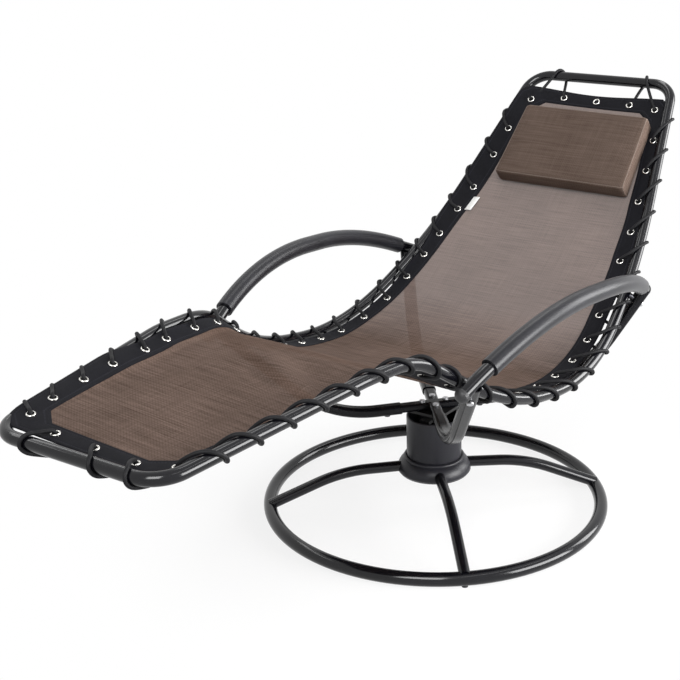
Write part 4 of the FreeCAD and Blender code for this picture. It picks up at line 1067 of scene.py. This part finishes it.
def plainly_seen(tree):
    """1 where a ray comes from the camera, a gloss or glass"""
    rays = add(tree, "ShaderNodeLightPath").outputs
    clear = add(tree, "ShaderNodeMath", {"operation": "MAXIMUM"}, _0=rays["Is Camera Ray"],
                _1=rays["Is Transmission Ray"])
    return add(tree, "ShaderNodeMath", {"operation": "MAXIMUM"}, _0=clear.outputs[0],
               _1=rays["Is Glossy Ray"]).outputs[0]


scene = bpy.context.scene
scene.view_settings.view_transform = "Standard"
world = bpy.data.worlds.new("studio")
scene.world = world
world.use_nodes = True
tree = world.node_tree
tree.nodes.clear()
sky = add(tree, "ShaderNodeBackground", Color=WHITE, Strength=SKY_LEVEL)
white = add(tree, "ShaderNodeBackground", Color=WHITE, Strength=1.0)
both = add(tree, "ShaderNodeMixShader", Fac=plainly_seen(tree), _1=sky.outputs[0], _2=white.outputs[0])
add(tree, "ShaderNodeOutputWorld", Surface=both.outputs[0])
print("made the surround", world.name)

# %% [markdown]
# The floor is matt pale paint that mostly shows as white. Close to the ring a share of its real shading is let through,
# which is the chair's shadow, and further out the white takes over.

# %% Pale floor
FLOOR_WHITE = (0.82, 1.0)
FLOOR_FADE = (0.32, 0.75)
FLOOR_MIDDLE = (0.12, 0.0, 0.0)
FLOOR_SIZE = 14.0
FLOOR_ROUGHNESS = 0.9

floor_paint, tree, shader = finish("pale_floor")
place = add(tree, "ShaderNodeTexCoord").outputs["Object"]
away = add(tree, "ShaderNodeVectorMath", {"operation": "LENGTH"}, _0=place)
fade = add(tree, "ShaderNodeMapRange", Value=away.outputs["Value"], From_Min=FLOOR_FADE[0], From_Max=FLOOR_FADE[1],
           To_Min=FLOOR_WHITE[0], To_Max=FLOOR_WHITE[1])
share = add(tree, "ShaderNodeMath", {"operation": "MULTIPLY"}, _0=plainly_seen(tree), _1=fade.outputs["Result"])
plain_white = add(tree, "ShaderNodeEmission", Color=WHITE, Strength=1.0)
mixed = add(tree, "ShaderNodeMixShader", Fac=share.outputs[0], _1=shader.outputs[0], _2=plain_white.outputs[0])
tree.links.new(mixed.outputs[0], tree.nodes["Material Output"].inputs["Surface"])
shader.inputs["Base Color"].default_value = paint("#fbfbfb")
shader.inputs["Roughness"].default_value = FLOOR_ROUGHNESS
bpy.ops.mesh.primitive_plane_add(size=FLOOR_SIZE, location=FLOOR_MIDDLE)
floor = bpy.context.object
floor.name = "floor"
floor.data.materials.append(floor_paint)
print("laid the floor,", FLOOR_SIZE, "m wide")

# %% [markdown]
# The lamps stay at a plain level, so that each finish renders about as it is written. A far, high lamp at the foot end
# lights foot and back alike, two soft lamps on the right give the hub its gradient and the pillow its light end, and
# three narrow strips draw the crisp lines on the gloss tubes.

# %% Lamps
# Name, stand, target, size in metres and power in watts
LAMPS = (("foot_high", (-6.0, -2.5, 6.0), (0.1, 0.0, 0.4), (4.0, 4.0), 600),
         ("right_low", (0.6, -3.0, 0.9), (0.1, 0.0, 0.4), (2.4, 1.4), 160),
         ("rear_right", (2.6, -1.9, 1.2), (0.4, 0.0, 0.5), (1.0, 1.6), 50),
         ("head_strip", (1.5, 0.3, 2.6), (1.5, 0.3, 0.0), (2.6, 0.35), 14),
         ("right_strip", (0.2, -1.6, 2.4), (0.2, 0.0, 0.4), (2.8, 0.12), 6),
         ("left_strip", (-0.2, 1.9, 2.1), (0.0, 0.0, 0.4), (2.6, 0.12), 6))

for name, stand, target, size, power in LAMPS:
    light = bpy.data.lights.new(name, "AREA")
    light.shape = "RECTANGLE"
    light.size, light.size_y = size
    light.energy = power
    lamp = new_piece(name, light)
    lamp.location = stand
    lamp.rotation_euler = (Vector(target) - Vector(stand)).to_track_quat("-Z", "Y").to_euler()
print("lamps", len(LAMPS))
